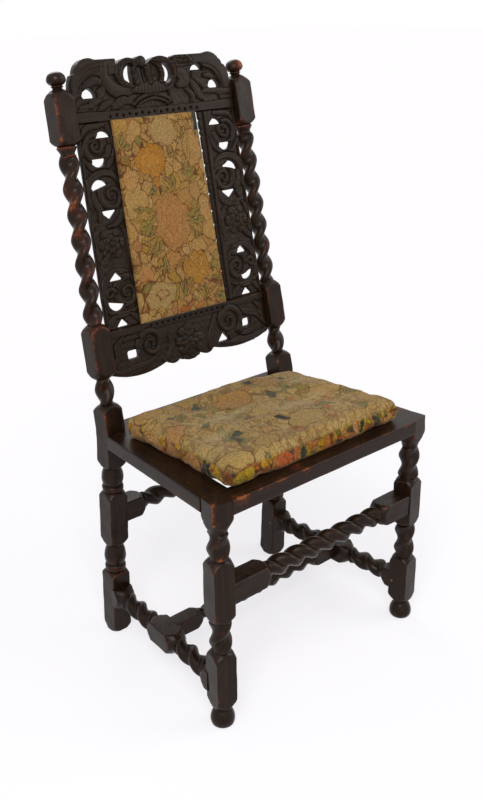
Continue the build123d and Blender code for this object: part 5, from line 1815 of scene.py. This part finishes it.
points[:, 2] += 3.0 * np.exp(-((u + 1) ** 2 + (v + 1) ** 2) / 0.05) * (1 - 0.6 * level)
points[:, 2] = np.clip(points[:, 2], BASE, BASE + 46)
set_positions(squab.data, points)
squab.data.shade_smooth()
low_corner, high_corner = points.min(axis=0), points.max(axis=0)
print("squab from", np.round(low_corner, 1), "to", np.round(high_corner, 1))


# %% [markdown]
# ## Needlework of the squab
# The top lies in the light and has been sat on, so its drawing is faint, with a few patches of
# blue left. The sides have kept their dyes, and get a drawing of their own.

# %% Patches of the squab
# Plain petals of the top: place across and back from the middle, half width, half depth, lean, wool
PLAIN_PETALS = (
    (22, -83, 40, 27, 6, "#A9956E"), (-55, -78, 21, 12, 0, "#AB8E66"), (3, -3, 44, 19, 18, "#AE9A72"),
    (139, -9, 42, 18, -12, "#AD9569"), (-13, 66, 44, 26, 10, "#A5855F"),
    (-182, 16, 30, 15, 40, "#B08A66"), (-165, 112, 34, 20, 20, "#AB9068"),
    (-170, -118, 34, 18, -10, "#B09C70"), (88, 86, 34, 20, 0, "#A08560"),
    (-90, -104, 26, 16, 10, "#A68E66"), (168, -88, 22, 22, 0, "#A98F68"),
    (-88, 108, 30, 16, 0, "#A08A62"),
)

# Leaves of the top that have faded: place, direction, length
FADED_LEAVES = (
    (-128, -44, 30, 34), (-110, -66, 200, 34), (90, -70, 120, 30), (-60, 10, 60, 26), (104, 40, 150, 30),
    (40, 98, 20, 26), (-90, 78, 10, 26), (176, -34, 240, 26), (-150, 64, 330, 24), (60, 46, 200, 24),
)

# Blue wool that has kept its colour: place, direction, length, wool
DARK_PATCHES = (
    (-18, -42, 300, 30, "#26343A"), (-140, 2, 20, 26, "#4A5E5C"), (-62, -24, 40, 18, "#56665C"),
    (124, 78, 80, 18, "#4C6060"), (44, 96, 30, 22, "#3A3F44"), (44, 37, 10, 24, "#4E5A58"),
    (-90, 74, 60, 20, "#46565A"), (-163, 64, 30, 16, "#4E6062"), (102, 42, 90, 13, "#42565C"),
    (-120, -60, 240, 28, "#3C4A4E"), (-100, -50, 200, 22, "#44544E"),
)

# Tracks worn down to the pale canvas: place, half length, half width
WORN_TRACKS = ((-65, 21, 60, 12), (74, -16, 70, 12), (-135, -32, 40, 10), (150, 60, 30, 10))

# Broad patches round the sides: place along the edge from the middle of the front, width, wool
SIDE_PATCHES = (
    (-172, 44, "#A38E1E"), (-84, 34, "#B0603A"), (-104, 16, "#A8703E"), (-60, 14, "#B46C48"),
    (86, 16, "#B8906A"), (20, 16, "#B07034"), (166, 24, "#B4895C"), (-236, 20, "#AE9024"),
    (-300, 36, "#B28C66"), (-350, 34, "#AC8460"), (-400, 40, "#B08E68"), (-450, 34, "#A98A62"),
)

# Upright leaves round the sides: place along the edge, wool, outline
SIDE_LEAVES = (
    (-37, "#22303A", "#A8901E"), (106, "#26382F", "#B89A1E"), (134, "#2A3230", "#A8901E"),
    (-268, "#222C3C", "#A8901E"), (-256, "#1F2A38", "#B4A04A"),
)


print("patches on the top:", len(PLAIN_PETALS) + len(FADED_LEAVES) + len(DARK_PATCHES))


# %% [markdown]
# ### Top and sides
# The place round the sides is measured along the edge from the middle of the front, so that a
# leaf can be put on any side by one number.

# %% Needlework of the squab
def squab_wools(u, v, level):
    """The worn, faded drawing of the top, and the side cells whose dye was kept from the light."""
    x, y = u * half_x, v * half_y
    w = Wools(x, y, 91, cell=14.0, lively=0.12, inked=0.5,
              ground=["#AC9872", "#AF9C76", "#A9936C", "#AD9974", "#B0A07E"],
              accent=["#A58058", "#8F8656", "#9A8A5C", "#A37A54", "#7C7E5C"])
    for px, py, wide, tall, lean, colour in PLAIN_PETALS:
        w.oval(px, py, wide, tall, colour, lean)
    faded = ["#8F8C66", "#9A8E66"]
    for px, py, angle, size in FADED_LEAVES:
        w.leaves(px, py, angle, size, faded, "#3D4B4E")
    for px, py, angle, size, colour in DARK_PATCHES:
        w.petal(px, py, angle, size, size * 0.5, colour, "#4E3A28")
    for px, py, wide, tall in WORN_TRACKS:
        worn = np.exp(-((x - px) / wide) ** 2 - ((y - py - 0.1 * (x - px)) / tall) ** 2)[:, None] * 0.65
        w.colour = w.colour * (1 - worn) + np.array(linear("#BDB4A2")[:3]) * worn
    binding = (v > 0.955) & (u > -0.5) & (level > 0.75)
    w.colour[binding] = linear("#3B4450")[:3]
    round_x = np.abs(u) > np.abs(v)
    s = np.where(round_x, np.sign(u) * (half_x + half_y + y),
                 np.where(v < 0, x, np.sign(u) * (2 * half_x + 2 * half_y - np.abs(x))))
    rise = level * 38
    d = Wools(s, rise, 97, cell=13.0, lively=0.3,
              ground=["#B08A20", "#B08E56", "#A8842C", "#B07A4E", "#A66A34", "#8E8A24"],
              accent=["#27343C", "#5F6A24", "#A8552C", "#2E4A44", "#B59A1E"])
    for middle, width, colour in SIDE_PATCHES:
        d.oval(middle, 13, width / 2, 16, colour, 0, 5)
    for middle, colour, edge in SIDE_LEAVES:
        d.petal(middle - 4, -2, 82, 36, 17, colour, edge)
    for k in range(7):
        d.petal(140 + 9 * k, 20 + 0.8 * k, 40, 15, 6, "#B08F1C" if k % 2 else "#4C5A1E")
    outer = np.clip((np.maximum(np.abs(u), np.abs(v)) - 0.90) / 0.05, 0, 1)
    side = (np.clip((0.86 - level) / 0.16, 0, 1) * outer)[:, None]
    return w.colour * (1 - side) + d.colour * side


wool_on(squab.data, squab_wools(u, v, level), SQUAB_AGED)
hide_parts("squab_cushion")
print("squab", len(squab.data.polygons), "faces")


# %% [markdown]
# ## Pegs and plug
# These solids already have the right form, so they only get their own wood, split oak.

# %% Small wooden parts
for node in ("stretcher_pegs", "back_pegs", "seat_rail_plug"):
    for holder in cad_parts[node].material_slots:
        holder.link = "OBJECT"
        holder.material = split_oak
    print(node, "finished in", split_oak.name)
